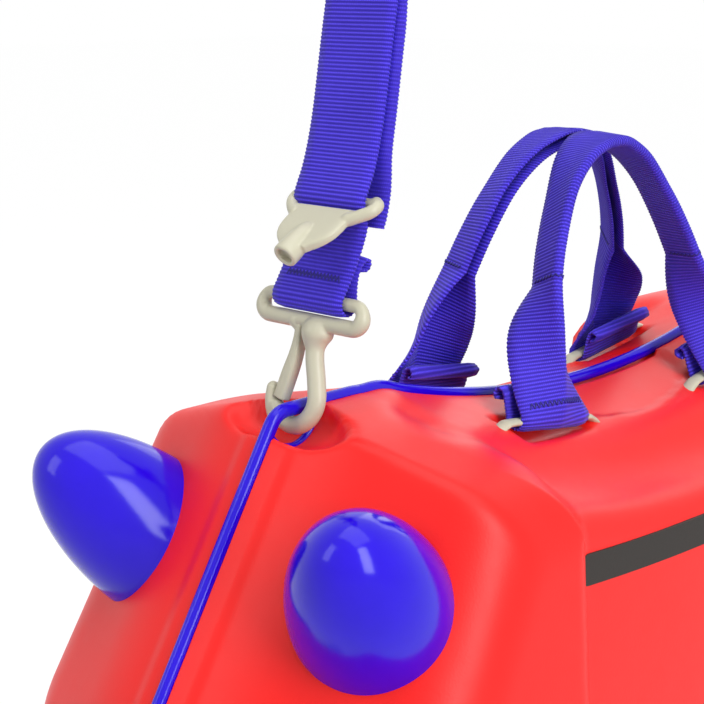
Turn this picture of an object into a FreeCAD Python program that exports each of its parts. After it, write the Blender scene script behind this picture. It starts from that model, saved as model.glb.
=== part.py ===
import FreeCAD, Part
import math, os
from FreeCAD import Vector, Rotation, Placement

os.makedirs("parts", exist_ok=True)

# Ride-on suitcase. X runs forward, Y to the object's left, Z up, floor at zero.
# Lengths in mm, angles in degrees.

# Shells: overall outline in the seam plane
nose_reach = 222.0
roof_height = 305.0
belly_height = 22.0
brow_reach = 164.0
nose_top_height = 211.0
nose_low_height = 105.0
chin_reach = 212.0
brow_round = 18.0
nose_round = 36.0
jaw_round = 30.0
wall = 3.0
least_round = 1.0
near_share = 0.01
tube_seam_turn = 40.0
overrun = 2.0

# Shells: end blocks that carry the wheels
block_back = 112.0
sweep_share = 0.20
fall_share = 0.23
flank_top_half = 84.0
flank_top_height = 280.0
flank_low_half = 102.0
flank_round = 16.0
back_round = 6.0

# Shells: saddle between the end blocks
seat_height = 287.5
seat_arc = 400.0
seat_fall_share = 0.23
seat_half = 38.0
seat_round = 14.0
flank_foot_half = 56.0
ledge_height = 263.0
ledge_fall_share = 0.10
ledge_round = 14.0
waist_half = 75.0
rim_round = 9.0
saddle_depth = 60.0

# Shells: mouth rim
lip = 5.0
lip_depth = 9.0

# Seal along the seam
trim_radius = 3.0
trim_proud = 0.6
trim_seat_gap = 0.15
trim_free_gap = 0.35
trim_blend_round = 60.0
trim_end_rise = 14.0
strand_radius = 1.6

# Tow loops and the recess below them
tow_reach = 156.0
tow_pocket_radius = 24.0
tow_pocket_lift = 8.0
tow_bury = 6.0

# Wheels
wheel_radius = 27.0
wheel_width = 28.0
wheel_reach = 152.0
tyre_depth = 7.0
tyre_round = 4.0
rim_dish = 5.0
rim_lip = 3.0
arch_gap = 4.0
arch_depth = 38.0
wheel_side_gap = 2.5
axle_radius = 5.0
axle_play = 0.06
axle_boss_radius = 10.0
axle_boss_length = 14.0
clip_radius = 8.5
clip_length = 1.6
run_gap = 0.35
cap_radius = 12.0
cap_wall = 1.6
cap_room = 0.5
axle_stub = 0.6

# Hinge along the belly
hinge_reach = 62.0
knuckle_length = 13.0
knuckle_count = 5
knuckle_radius = 5.5
knuckle_gap = 0.3
hinge_drop = 8.0
leaf_length = 68.0
leaf_width = 30.0
leaf_thickness = 3.0
pin_radius = 2.2
pin_head_radius = 3.6
pin_head_length = 1.6
pin_play = 0.06
rivet_radius = 2.0
rivet_head_radius = 3.6
rivet_head_length = 1.4
rivet_inset = 9.0

# Catches at the nose and at the tail
catch_height = 150.0
catch_base_near = 9.0
catch_base_far = 41.0
catch_half_height = 16.0
catch_pin_half = 35.0
catch_pin_lift = 5.2
catch_pin_radius = 2.0
catch_barrel_radius = 4.2
catch_ear_length = 5.0
lever_gap = 0.4
lever_thickness = 5.4
lever_half_height = 10.0
lever_tip_half = 34.0
lever_round = 9.0
keeper_near = 10.0
keeper_far = 27.0
keeper_half_height = 8.5
lock_radius = 7.5
lock_play = 0.06
lock_proud = 0.8
lock_slot_width = 2.2
lock_slot_depth = 2.4
lock_slot_share = 0.67
catch_bury = 12.0

# Horns
horn_x = 169.6
horn_y = 48.0
horn_z = 250.7
horn_half_length = 55.0
horn_half_width = 26.0
horn_azimuth = 30.5
horn_elevation = 42.6
horn_wall = 2.6
horn_boss_radius = 6.5
horn_screw_radius = 2.2
horn_screw_head_radius = 5.0
horn_screw_head_length = 3.0
horn_screw_bite = 14.0

# Handle anchors
anchor_reach = 59.6
anchor_half = 29.5
anchor_height = 289.0
anchor_length = 56.0
anchor_radius = 2.5
anchor_tilt = 6.0
anchor_foot_stub = 0.6
anchor_clip_radius = 6.0
anchor_clip_length = 3.0
anchor_pocket_radius = 8.6
anchor_pocket_length = 45.0
hole_play = 0.04

# Handles: flat webbing that is folded lengthwise along the grip
webbing_width = 39.0
webbing_thickness = 2.0
grip_width = 20.0
grip_thickness = 4.4
loop_gap = 0.4
handle_rise = 90.0
handle_crest_half = 10.4
handle_twist_angle = 60.0
handle_reach_shares = (0.985, 0.955, 0.925, 0.89, 0.845, 0.76, 0.62, 0.42, 0.21, 0.0)
handle_rise_shares = (0.085, 0.18, 0.28, 0.39, 0.50, 0.63, 0.76, 0.885, 0.97, 1.0)
handle_lean_shares = (0.10, 0.20, 0.30, 0.42, 0.54, 0.66, 0.78, 0.90, 0.97, 1.0)
handle_fold_shares = (0.0, 0.0, 0.15, 0.45, 0.80, 1.0, 1.0, 1.0, 1.0, 1.0)
handle_thick_shares = (1.0, 0.75, 0.55, 0.62, 0.80, 1.0, 1.0, 1.0, 1.0, 1.0)
handle_twist_shares = (0.0, 0.10, 0.30, 0.55, 0.80, 1.0, 1.1, 1.25, 1.42, 1.5)

# Tow set: snap hook, strap and key, leaning back from the tow loop
tow_lean = 13.7
tow_hook_reach = 154.5
hook_wire = 2.6
ring_radius = 8.6
ring_half = 1.0
ring_rise = 2.5
shoulder_rise = 13.0
shoulder_round = 10.0
shank_half = 2.0
hook_tip_rise = 5.6
nib_radius = 3.2
eye_wire = 2.2
eye_half = 22.4
eye_low = 26.4
eye_high = 34.3
gate_root_half = 0.6
gate_root_rise = 20.4
gate_root_radius = 2.3
gate_radius = 1.8
gate_gap = 0.35
gate_tip_rise = 6.2
strap_width = 31.0
strap_thickness = 1.9
strap_loop_gap = 0.35
strap_length = 116.0
strap_tail = 24.0
key_rise = 32.0
key_bar_radius = 2.1
key_bar_length = 38.0
key_lug_radius = 3.0
key_lug_length = 3.4
key_top_width = 38.0
key_window_gap = 0.8
key_low_width = 14.0
key_length = 19.0
key_thickness = 3.4
key_tip_radius = 4.2
key_tip_bore = 2.6
key_tip_length = 9.0
key_bore_depth = 6.0
key_angle = 47.0

# Side stripes
stripe_end_gap = 10.0
stripe_height = 11.0
stripe_thickness = 0.6
stripe_rim_gap = 12.0

# Packing straps inside the right shell
pack_width = 25.0
pack_thickness = 1.6
pack_half = 14.0
pack_angle = 32.0
pack_height = 155.0
buckle_length = 52.0
buckle_height = 40.0
buckle_thickness = 9.0
buckle_round = 6.0

X_AXIS = Vector(1, 0, 0)
Y_AXIS = Vector(0, 1, 0)
Z_AXIS = Vector(0, 0, 1)
ORIGIN = Vector(0, 0, 0)


def on_xz(a, b):
    return Vector(a, 0, b)


def on_yz(a, b):
    return Vector(0, a, b)


def box(x0, x1, y0, y1, z0, z1):
    return Part.makeBox(x1 - x0, y1 - y0, z1 - z0, Vector(x0, y0, z0))


def rod(start, end, radius):
    run = end.sub(start)
    return Part.makeCylinder(radius, run.Length, start, run)


def inset_outline(points, gaps):
    """Move each side of a counter-clockwise outline inwards by its own gap."""
    count = len(points)
    lines = []
    for i in range(count):
        p = points[i]
        q = points[(i + 1) % count]
        run = math.hypot(q[0] - p[0], q[1] - p[1])
        d = ((q[0] - p[0]) / run, (q[1] - p[1]) / run)
        lines.append(((p[0] - d[1] * gaps[i], p[1] + d[0] * gaps[i]), d))
    moved = []
    for i in range(count):
        (p, d) = lines[i - 1]
        (q, e) = lines[i]
        cross = d[0] * e[1] - d[1] * e[0]
        t = ((q[0] - p[0]) * e[1] - (q[1] - p[1]) * e[0]) / cross
        moved.append((p[0] + d[0] * t, p[1] + d[1] * t))
    return moved


def corner_arc(before, corner, after, radius):
    """Tangent points and middle point of the arc that rounds one corner."""
    u = Vector(before[0] - corner[0], before[1] - corner[1], 0)
    v = Vector(after[0] - corner[0], after[1] - corner[1], 0)
    u.normalize()
    v.normalize()
    half = u.getAngle(v) / 2
    reach = radius / math.tan(half)
    middle = u.add(v)
    middle.normalize()
    depth = radius / math.sin(half) - radius
    c = Vector(corner[0], corner[1], 0)
    points = (c.add(u * reach), c.add(middle * depth), c.add(v * reach))
    return [(p.x, p.y) for p in points]


def outline_edges(points, rounds, place, closed=True):
    """Straight runs joined by tangent arcs; rounds holds a radius for each point, zero for a sharp one."""
    count = len(points)
    stops = []
    for i in range(count):
        if rounds[i] > 0:
            stops.append(corner_arc(points[i - 1], points[i], points[(i + 1) % count], rounds[i]))
        else:
            stops.append([points[i]])
    edges = []
    for i in range(count):
        if len(stops[i]) == 3:
            edges.append(Part.Arc(*[place(*p) for p in stops[i]]).toShape())
        if i + 1 < count or closed:
            a = place(*stops[i][-1])
            b = place(*stops[(i + 1) % count][0])
            edges.append(Part.LineSegment(a, b).toShape())
    return edges


def outline_face(points, rounds, place):
    return Part.Face(Part.Wire(outline_edges(points, rounds, place)))


def tube(edges, radius):
    """Round tube along a path of straight runs and tangent arcs."""
    path = Part.Wire(edges)
    first = path.OrderedEdges[0]
    ends = path.OrderedVertexes
    start = ends[0].Point
    at = first.FirstParameter
    if first.valueAt(at).distanceToPoint(start) > first.valueAt(first.LastParameter).distanceToPoint(start):
        at = first.LastParameter
    ring = Part.Wire(Part.makeCircle(radius, start, first.tangentAt(at)))
    ring.rotate(start, first.tangentAt(at), tube_seam_turn)
    return path.makePipeShell([ring], True, True)


def join(shapes):
    whole = shapes[0]
    if len(shapes) > 1:
        whole = whole.fuse(list(shapes[1:]))
    return whole.removeSplitter()


def mirrored(shape, normal):
    return shape.mirror(ORIGIN, normal)


def one_solid(shape):
    return shape.Solids[0] if len(shape.Solids) == 1 else Part.makeCompound(shape.Solids)


nodes = {}


def keep(name, shape):
    nodes[name] = one_solid(shape)


# Outline of an end block in the seam plane, from the belly round the nose to the roof
far = nose_reach * 2
seat_axis_height = seat_height + seat_arc
middle_height = (belly_height + seat_height) / 2
chin_slope = (nose_reach - chin_reach) / (nose_low_height - belly_height)
deep_height = belly_height - fall_share * flank_low_half - overrun
deep_reach = chin_reach - chin_slope * (belly_height - deep_height)
flank_fillet = min(flank_round, brow_round - least_round)
block_root = block_back - flank_round
block_points = [(block_root, deep_height), (deep_reach, deep_height), (nose_reach, nose_low_height),
                (nose_reach, nose_top_height), (brow_reach, roof_height), (block_root, roof_height)]


def eased(radius, gap):
    return max(radius - gap, least_round)


def flank_tool(gap):
    """Everything outside the drafted flank of an end block."""
    slope = (flank_low_half - flank_top_half) / (flank_top_height - belly_height)
    shift = gap * math.hypot(1, slope)
    low = deep_height - wall
    high = roof_height + wall
    far = flank_low_half * 2
    y_low = flank_low_half + slope * (belly_height - low) - shift
    y_high = flank_low_half - slope * (high - belly_height) - shift
    face = Part.Face(Part.makePolygon([on_yz(y_low, low), on_yz(far, low), on_yz(far, high),
                                       on_yz(y_high, high), on_yz(y_low, low)]))
    tool = face.extrude(X_AXIS * (nose_reach + overrun))
    normal = Vector(0, 1, slope)
    normal.normalize()
    return tool, on_yz(y_low, low), normal


def trimmed_block(block, gap, rounded):
    """Cut an end block off at its back, round the edge there, and cut it off at the belly."""
    back = block_back + gap
    block = block.cut(box(-far, back, -far, far, -far, far))
    edges = []
    for edge in block.Edges:
        middle = edge.valueAt((edge.FirstParameter + edge.LastParameter) / 2)
        spots = [middle] + [v.Point for v in edge.Vertexes]
        flat = all(abs(p.x - back) < wall * near_share for p in spots)
        seam = all(abs(p.y) < wall * near_share for p in spots)
        low = all(p.z < belly_height - overrun for p in spots)
        if flat and not seam and not low:
            edges.append(edge)
    if rounded:
        block = block.makeFillet(eased(back_round, gap), edges)
    return block.cut(box(-far, far, -far, far, -far, belly_height + gap))


def end_block(gap, depth):
    points = inset_outline(block_points, [0, gap, gap, gap, gap, 0])
    rounds = [0, 0, eased(jaw_round, gap), eased(nose_round, gap), eased(brow_round, gap), 0]
    reach = flank_low_half + 2 * overrun
    face = outline_face(points, rounds, on_xz)
    block = face.extrude(Vector(-sweep_share * reach, reach, -fall_share * reach))
    if depth > 0:
        return trimmed_block(block.common(box(-far, far, 0, depth, -far, far)), gap, False)
    tool, foot, normal = flank_tool(gap)
    block = block.cut(tool)
    edges = []
    for edge in block.Edges:
        middle = edge.valueAt((edge.FirstParameter + edge.LastParameter) / 2)
        spots = [middle] + [v.Point for v in edge.Vertexes]
        flat = all(abs(p.sub(foot).dot(normal)) < wall * near_share for p in spots)
        low = all(p.z < belly_height - overrun for p in spots)
        back = all(p.x < block_root for p in spots)
        if flat and not low and not back:
            edges.append(edge)
    return trimmed_block(block.makeFillet(eased(flank_fillet, gap), edges), gap, True)


seat_edge_height = seat_height - seat_fall_share * seat_half
ledge_rim_height = ledge_height - ledge_fall_share * (waist_half - flank_foot_half)
saddle_low = seat_height - saddle_depth
saddle_points = [(0, saddle_low), (waist_half, saddle_low), (waist_half, ledge_rim_height),
                 (flank_foot_half, ledge_height), (seat_half, seat_edge_height), (0, seat_height)]


def saddle(gap):
    points = inset_outline(saddle_points, [0, gap, gap, gap, gap, 0])
    rounds = [0, 0, eased(rim_round, gap), ledge_round + gap, eased(seat_round, gap), 0]
    end = block_back + max(back_round, gap + overrun)
    angle = math.degrees(math.asin((end + overrun) / seat_arc))
    face = outline_face(points, rounds, on_yz)
    axis_point = on_xz(0, seat_axis_height)
    face.rotate(axis_point, Y_AXIS, -angle)
    turned = face.revolve(axis_point, Y_AXIS, 2 * angle)
    for side in (-1, 1):
        near = min(side * end, side * far)
        turned = turned.cut(box(near, near + far - end, -far, far, -far, far))
    low_radius = seat_axis_height - saddle_low
    meet = seat_axis_height - math.sqrt(low_radius ** 2 - end ** 2) + overrun
    lower = box(-end, end, 0, waist_half - gap, belly_height + gap, meet)
    return join([turned, lower])


def half_body(gap, depth=0):
    """Left half of the case, filled and moved inwards by gap except at the seam; depth keeps a slice."""
    block = end_block(gap, depth)
    return join([saddle(gap), block, mirrored(block, X_AXIS)])


outer = half_body(0)

# Recesses that are cut into the outside, each with the wall that lines it
tow_pocket_height = roof_height + tow_pocket_lift
arch_half = flank_low_half - arch_depth


def recesses(grow):
    tools = []
    for end in (-1, 1):
        tools.append(Part.makeSphere(tow_pocket_radius + grow, on_xz(end * tow_reach, tow_pocket_height)))
        start = Vector(end * wheel_reach, arch_half - grow, wheel_radius)
        tools.append(Part.makeCylinder(wheel_radius + arch_gap + grow, flank_low_half, start, Y_AXIS))
        half = anchor_pocket_length / 2 + grow
        start = Vector(end * anchor_reach - half, anchor_half, anchor_height)
        pocket = Part.makeCylinder(anchor_pocket_radius + grow, 2 * half, start, X_AXIS)
        tools.append(pocket)
    return tools


mouth_side = box(-far, far, -far, lip_depth, -far, far)
cavity = half_body(wall).cut(mouth_side)
cavity = join([cavity, half_body(wall + lip, lip_depth).common(box(-far, far, 0, lip_depth, 0, far))])
cavity = cavity.cut(recesses(wall))
shell = outer.cut(recesses(0)).cut(cavity)


def along_x(y, z, x0, x1, radius):
    return Part.makeCylinder(radius, x1 - x0, Vector(x0, y, z), X_AXIS)


def along_y(x, z, y0, y1, radius):
    return Part.makeCylinder(radius, y1 - y0, Vector(x, y0, z), Y_AXIS)


def along_z(x, y, z0, z1, radius):
    return Part.makeCylinder(radius, z1 - z0, Vector(x, y, z0), Z_AXIS)


def both(name, shape):
    keep(name + "_left", shape)
    keep(name + "_right", mirrored(shape, Y_AXIS))


def reach_inside(start, end, body):
    """The point nearest to end at which the line from start to end leaves the body."""
    inside = Part.makeLine(start, end).common(body)
    return min([v.Point for v in inside.Vertexes], key=lambda p: p.distanceToPoint(end))


# Axle bosses on the inner wall of each wheel arch
boss_root = arch_half - wall
axle_inner = boss_root - axle_boss_length
for end in (-1, 1):
    x = end * wheel_reach
    shell = shell.fuse(along_y(x, wheel_radius, axle_inner - wall, arch_half - wall / 2, axle_boss_radius))
for end in (-1, 1):
    x = end * wheel_reach
    shell = shell.cut(along_y(x, wheel_radius, axle_inner, arch_half + overrun, axle_radius + hole_play))

# Feet of the anchor bars pass through the seat
anchor_lean = math.radians(anchor_tilt)
foot_run = anchor_length / 2 - anchor_radius
foot_tops = {}
for end in (-1, 1):
    tops = []
    for side in (-1, 1):
        x = end * (anchor_reach + side * foot_run * math.cos(anchor_lean))
        tops.append(Vector(x, anchor_half, anchor_height + side * foot_run * math.sin(anchor_lean)))
    foot_tops[end] = tops
foot_lows = {}
for end in (-1, 1):
    foot_lows[end] = [reach_inside(Vector(p.x, p.y, middle_height), p, cavity) for p in foot_tops[end]]
for end in (-1, 1):
    for top, low in zip(foot_tops[end], foot_lows[end]):
        shell = shell.cut(rod(low.sub(Z_AXIS * anchor_clip_length), top, anchor_radius + hole_play))
    shell = shell.cut(rod(foot_tops[end][0], foot_tops[end][1], anchor_radius + hole_play))
    for top in foot_tops[end]:
        shell = shell.cut(Part.makeSphere(anchor_radius + hole_play, top))

# Screws of the horns pass through the front
azimuth_turn = math.radians(horn_azimuth)
rise_turn = math.radians(horn_elevation)
horn_axis = Vector(math.cos(rise_turn) * math.cos(azimuth_turn),
                   math.cos(rise_turn) * math.sin(azimuth_turn), math.sin(rise_turn))
horn_middle = Vector(horn_x, horn_y, horn_z)
horn_far = horn_middle.add(horn_axis * horn_half_length)
horn_near = horn_middle.sub(horn_axis * horn_half_length)
horn_seat = reach_inside(horn_near, horn_far, outer)
horn_inside = reach_inside(horn_near, horn_far, cavity)
shell = shell.cut(rod(horn_inside.sub(horn_axis * wall), horn_far, horn_screw_radius + hole_play))

# Rivets of the hinge leaves pass through the belly
hinge_height = belly_height - hinge_drop
leaf_near = knuckle_radius + knuckle_gap
rivet_y = (leaf_near + leaf_width) / 2
rivet_run = leaf_length / 2 - rivet_inset
rivet_xs = [end * hinge_reach + spot * rivet_run for end in (-1, 1) for spot in (-1, 0, 1)]
leaf_low = belly_height - leaf_thickness
belly_inside = belly_height + wall
for x in rivet_xs:
    shell = shell.cut(along_z(x, rivet_y, leaf_low, belly_inside + overrun, rivet_radius + hole_play))
shell = shell.removeSplitter()

# Seam path, just proud of the shells: chin, nose and brow, tow loop, then the dip of the seat,
# and the same behind
seam_points = inset_outline(block_points, [-trim_proud] * len(block_points))
seam_deep, seam_jaw, seam_nose, seam_brow = seam_points[1:5]
seam_roof = roof_height + trim_proud
seam_seat_arc = seat_arc - trim_proud
nose_run_length = math.hypot(seam_brow[0] - seam_nose[0], seam_brow[1] - seam_nose[1])
nose_dir = ((seam_brow[0] - seam_nose[0]) / nose_run_length, (seam_brow[1] - seam_nose[1]) / nose_run_length)
pocket_drop = (tow_reach - seam_brow[0], tow_pocket_height - seam_roof)
along = -(pocket_drop[0] * nose_dir[0] + pocket_drop[1] * nose_dir[1])
across = pocket_drop[0] * nose_dir[1] - pocket_drop[1] * nose_dir[0]
pocket_front = along + math.sqrt(tow_pocket_radius ** 2 - across ** 2)
pocket_back = tow_reach - math.sqrt(tow_pocket_radius ** 2 - (tow_pocket_height - seam_roof) ** 2)
loop_front = (seam_brow[0] - nose_dir[0] * (pocket_front + tow_bury),
              seam_brow[1] - nose_dir[1] * (pocket_front + tow_bury))
loop_back = (pocket_back - tow_bury, seam_roof)
trim_end_height = belly_height + trim_end_rise
trim_end = (seam_deep[0] + chin_slope * (trim_end_height - seam_deep[1]), trim_end_height)


def path_front(end):
    points = [trim_end, seam_jaw, seam_nose, loop_front]
    rounds = [0, jaw_round + trim_proud, nose_round + trim_proud, 0]
    return outline_edges([(end * p[0], p[1]) for p in points], rounds, on_xz, False)


def path_loop(end):
    points = [loop_front, seam_brow, loop_back]
    return outline_edges([(end * p[0], p[1]) for p in points], [0, brow_round + trim_proud, 0], on_xz, False)


def path_top():
    """Roof, tangent blend, seat arc, and back up."""
    blend_height = seam_roof - trim_blend_round
    reach = seam_seat_arc + trim_blend_round
    blend_x = math.sqrt(reach ** 2 - (seat_axis_height - blend_height) ** 2)
    touch = seam_seat_arc / reach
    touch_x = blend_x * touch
    touch_z = seat_axis_height - (seat_axis_height - blend_height) * touch
    lean = math.atan2(touch_x - blend_x, touch_z - blend_height) / 2
    middle = (blend_x + trim_blend_round * math.sin(lean), blend_height + trim_blend_round * math.cos(lean))
    edges = [Part.LineSegment(on_xz(loop_back[0], seam_roof), on_xz(blend_x, seam_roof)).toShape()]
    edges.append(Part.Arc(on_xz(blend_x, seam_roof), on_xz(*middle), on_xz(touch_x, touch_z)).toShape())
    low = on_xz(0, seat_axis_height - seam_seat_arc)
    edges.append(Part.Arc(on_xz(touch_x, touch_z), low, on_xz(-touch_x, touch_z)).toShape())
    edges.append(Part.Arc(on_xz(-touch_x, touch_z), on_xz(-middle[0], middle[1]),
                          on_xz(-blend_x, seam_roof)).toShape())
    edges.append(Part.LineSegment(on_xz(-blend_x, seam_roof), on_xz(-loop_back[0], seam_roof)).toShape())
    return edges


def path_strand(end):
    """Thin seal on the floor of the tow recess, short of the loop above it."""
    front = (seam_brow[0] - nose_dir[0] * pocket_front, seam_brow[1] - nose_dir[1] * pocket_front)
    back = (pocket_back, seam_roof)
    gap = (trim_radius + 2 * strand_radius) / tow_pocket_radius
    a = math.atan2(front[1] - tow_pocket_height, front[0] - tow_reach) - gap
    b = math.atan2(back[1] - tow_pocket_height, back[0] - tow_reach) + gap
    if b > 0:
        b = b - 2 * math.pi
    spots = []
    for turn in (a, (a + b) / 2, b):
        x = tow_reach + (tow_pocket_radius - trim_proud) * math.cos(turn)
        spots.append(on_xz(end * x, tow_pocket_height + (tow_pocket_radius - trim_proud) * math.sin(turn)))
    return [Part.Arc(*spots).toShape()]


trims = [tube(path_front(1), trim_radius), tube(path_top(), trim_radius), tube(path_front(-1), trim_radius)]
strands = [tube(path_strand(1), strand_radius), tube(path_strand(-1), strand_radius)]
loops = [tube(path_loop(1), trim_radius), tube(path_loop(-1), trim_radius)]


def trim_grooves(gap):
    tools = [tube(path_front(1), trim_radius + gap), tube(path_top(), trim_radius + gap),
             tube(path_front(-1), trim_radius + gap)]
    tools += [tube(path_loop(1), trim_radius + gap), tube(path_loop(-1), trim_radius + gap)]
    return tools + [tube(path_strand(1), strand_radius + gap), tube(path_strand(-1), strand_radius + gap)]


def grooved(body, gap):
    for tool in trim_grooves(gap):
        body = body.cut(tool)
    return body


keep("shell_left", grooved(shell, trim_seat_gap))
keep("shell_right", mirrored(grooved(shell, trim_free_gap), Y_AXIS))
keep("seal_trim", Part.makeCompound(trims + strands))
keep("tow_loop_front", loops[0])
keep("tow_loop_rear", loops[1])

# Wheels
wheel_in = arch_half + wheel_side_gap
wheel_out = wheel_in + wheel_width
hub_face = wheel_out - rim_dish
clip_face = hub_face + run_gap
axle_end = clip_face + clip_length + axle_stub
rim_radius = wheel_radius - tyre_depth


def wheel(end):
    x = end * wheel_reach
    z = wheel_radius
    tyre = along_y(x, z, wheel_in, wheel_out, wheel_radius)
    edges = [e for e in tyre.Edges if len(e.Vertexes) == 1]
    tyre = tyre.makeFillet(tyre_round, edges).cut(along_y(x, z, wheel_in, wheel_out, rim_radius))
    rim = along_y(x, z, wheel_in, wheel_out, rim_radius)
    rim = rim.cut(along_y(x, z, hub_face, wheel_out + overrun, rim_radius - rim_lip))
    rim = rim.cut(along_y(x, z, wheel_in - overrun, wheel_out, axle_radius + axle_play))
    room = axle_end + cap_room
    cap = along_y(x, z, hub_face, room + cap_wall, cap_radius)
    cap = cap.cut(along_y(x, z, hub_face, room, cap_radius - cap_wall))
    return tyre, rim, cap


axles = []
axle_clips = []
for end, word in ((1, "front"), (-1, "rear")):
    tyre, rim, cap = wheel(end)
    both("tyre_" + word, tyre)
    both("wheel_rim_" + word, rim)
    both("wheel_cap_" + word, cap)
    x = end * wheel_reach
    axles.append(along_y(x, wheel_radius, axle_inner, axle_end, axle_radius))
    ring = along_y(x, wheel_radius, clip_face, clip_face + clip_length, clip_radius)
    axle_clips.append(ring.cut(along_y(x, wheel_radius, clip_face, clip_face + clip_length, axle_radius)))
both("axles", Part.makeCompound(axles))
both("axle_clips", Part.makeCompound(axle_clips))

# Hinge
hinge_run = knuckle_count * knuckle_length / 2


def hinge_leaf(picks, bore):
    """Leaf on the left half: a plate under the belly with its share of the knuckles."""
    leaves = []
    for end in (-1, 1):
        middle = end * hinge_reach
        half = leaf_length / 2
        solids = [box(middle - half, middle + half, leaf_near, leaf_width, leaf_low, belly_height)]
        for i in picks:
            start = middle - hinge_run + i * knuckle_length + knuckle_gap / 2
            stop = start + knuckle_length - knuckle_gap
            solids.append(along_x(0, hinge_height, start, stop, knuckle_radius))
            solids.append(box(start, stop, 0, leaf_near + leaf_thickness, hinge_height, belly_height))
        leaf = join(solids)
        leaf = leaf.cut(along_x(0, hinge_height, middle - half, middle + half, bore))
        for x in rivet_xs:
            leaf = leaf.cut(along_z(x, rivet_y, leaf_low - overrun, belly_height + overrun,
                                    rivet_radius + hole_play))
        leaves.append(leaf)
    return Part.makeCompound(leaves)


keep("hinge_leaf_left", hinge_leaf(range(0, knuckle_count, 2), pin_radius + hole_play))
keep("hinge_leaf_right", mirrored(hinge_leaf(range(1, knuckle_count, 2), pin_radius + pin_play), Y_AXIS))
pins = []
for end in (-1, 1):
    a = end * hinge_reach - hinge_run
    b = end * hinge_reach + hinge_run
    pin = along_x(0, hinge_height, a - pin_head_length, b + pin_head_length, pin_radius)
    heads = [along_x(0, hinge_height, a - pin_head_length, a, pin_head_radius),
             along_x(0, hinge_height, b, b + pin_head_length, pin_head_radius)]
    pins.append(join([pin] + heads))
keep("hinge_pins", Part.makeCompound(pins))
rivets = []
for x in rivet_xs:
    rivet = along_z(x, rivet_y, leaf_low - rivet_head_length, belly_inside + rivet_head_length, rivet_radius)
    heads = [along_z(x, rivet_y, leaf_low - rivet_head_length, leaf_low, rivet_head_radius),
             along_z(x, rivet_y, belly_inside, belly_inside + rivet_head_length, rivet_head_radius)]
    rivets.append(join([rivet] + heads))
both("hinge_rivets", Part.makeCompound(rivets))

# Catches
catch_front = nose_reach + trim_proud + trim_radius
catch_pin_x = nose_reach + catch_pin_lift
catch_low = catch_height - catch_half_height
catch_high = catch_height + catch_half_height
lever_low = catch_height - lever_half_height
lever_high = catch_height + lever_half_height
lever_back = catch_front + lever_gap
lever_front = lever_back + lever_thickness
catch_base = box(nose_reach - catch_bury, catch_front, catch_base_near, catch_base_far,
                 catch_low, catch_high)
for z0, z1 in ((catch_low, catch_low + catch_ear_length), (catch_high - catch_ear_length, catch_high)):
    ear = along_z(catch_pin_x, catch_pin_half, z0, z1, catch_barrel_radius)
    stem = box(nose_reach, catch_pin_x, catch_pin_half - catch_barrel_radius,
               catch_pin_half + catch_barrel_radius, z0, z1)
    catch_base = catch_base.fuse([ear, stem])
catch_base = catch_base.cut(along_z(catch_pin_x, catch_pin_half, catch_low + catch_ear_length,
                                    catch_high - catch_ear_length, catch_barrel_radius + lever_gap))
catch_base = catch_base.cut(along_z(catch_pin_x, catch_pin_half, catch_low - overrun, catch_high + overrun,
                                    catch_pin_radius + hole_play))
catch_base = catch_base.cut(outer).removeSplitter()
lever_points = [(-lever_tip_half, lever_low), (catch_pin_half, lever_low),
                (catch_pin_half, lever_high), (-lever_tip_half, lever_high)]
lever = outline_face(lever_points, [lever_round, 0, 0, lever_round], on_yz)
lever.translate(X_AXIS * lever_back)
lever = lever.extrude(X_AXIS * lever_thickness)
lever = lever.fuse(along_z(catch_pin_x, catch_pin_half, lever_low, lever_high, catch_barrel_radius))
lever = lever.cut(along_z(catch_pin_x, catch_pin_half, lever_low - overrun, lever_high + overrun,
                          catch_pin_radius + pin_play))
lever = lever.cut(along_x(0, catch_height, lever_back - overrun, lever_front + overrun,
                          lock_radius + lock_play))
lever = lever.removeSplitter()
lock = along_x(0, catch_height, lever_back, lever_front + lock_proud, lock_radius)
slot_top = lever_front + lock_proud
slot_half = lock_radius * lock_slot_share
lock = lock.cut(box(slot_top - lock_slot_depth, slot_top, -lock_slot_width / 2, lock_slot_width / 2,
                    catch_height - slot_half, catch_height + slot_half))
keeper = box(nose_reach - catch_bury, catch_front, keeper_near, keeper_far,
             catch_height - keeper_half_height, catch_height + keeper_half_height).cut(outer)
keeper = mirrored(keeper, Y_AXIS)
catch_pin = along_z(catch_pin_x, catch_pin_half, catch_low, catch_high, catch_pin_radius)
for word, turn in (("front", False), ("rear", True)):
    for name, shape in (("catch_base", catch_base), ("catch_lever", lever), ("catch_lock", lock),
                        ("catch_keeper", keeper), ("catch_pin", catch_pin)):
        keep(name + "_" + word, mirrored(shape, X_AXIS) if turn else shape)


# Horns
def spheroid(half_length, half_width):
    """Egg body about the horn's axis."""
    low = Vector(0, 0, -half_length)
    high = Vector(0, 0, half_length)
    curve = Part.Ellipse(high, Vector(half_width, 0, 0), ORIGIN)
    arc = Part.ArcOfEllipse(curve, -math.pi, 0).toShape()
    if arc.valueAt((arc.FirstParameter + arc.LastParameter) / 2).x < 0:
        arc = Part.ArcOfEllipse(curve, 0, math.pi).toShape()
    face = Part.Face(Part.Wire([arc, Part.makeLine(low, high)]))
    solid = face.revolve(ORIGIN, Z_AXIS, 360)
    solid.Placement = Placement(horn_middle, Rotation(Z_AXIS, horn_axis))
    return solid


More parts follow.
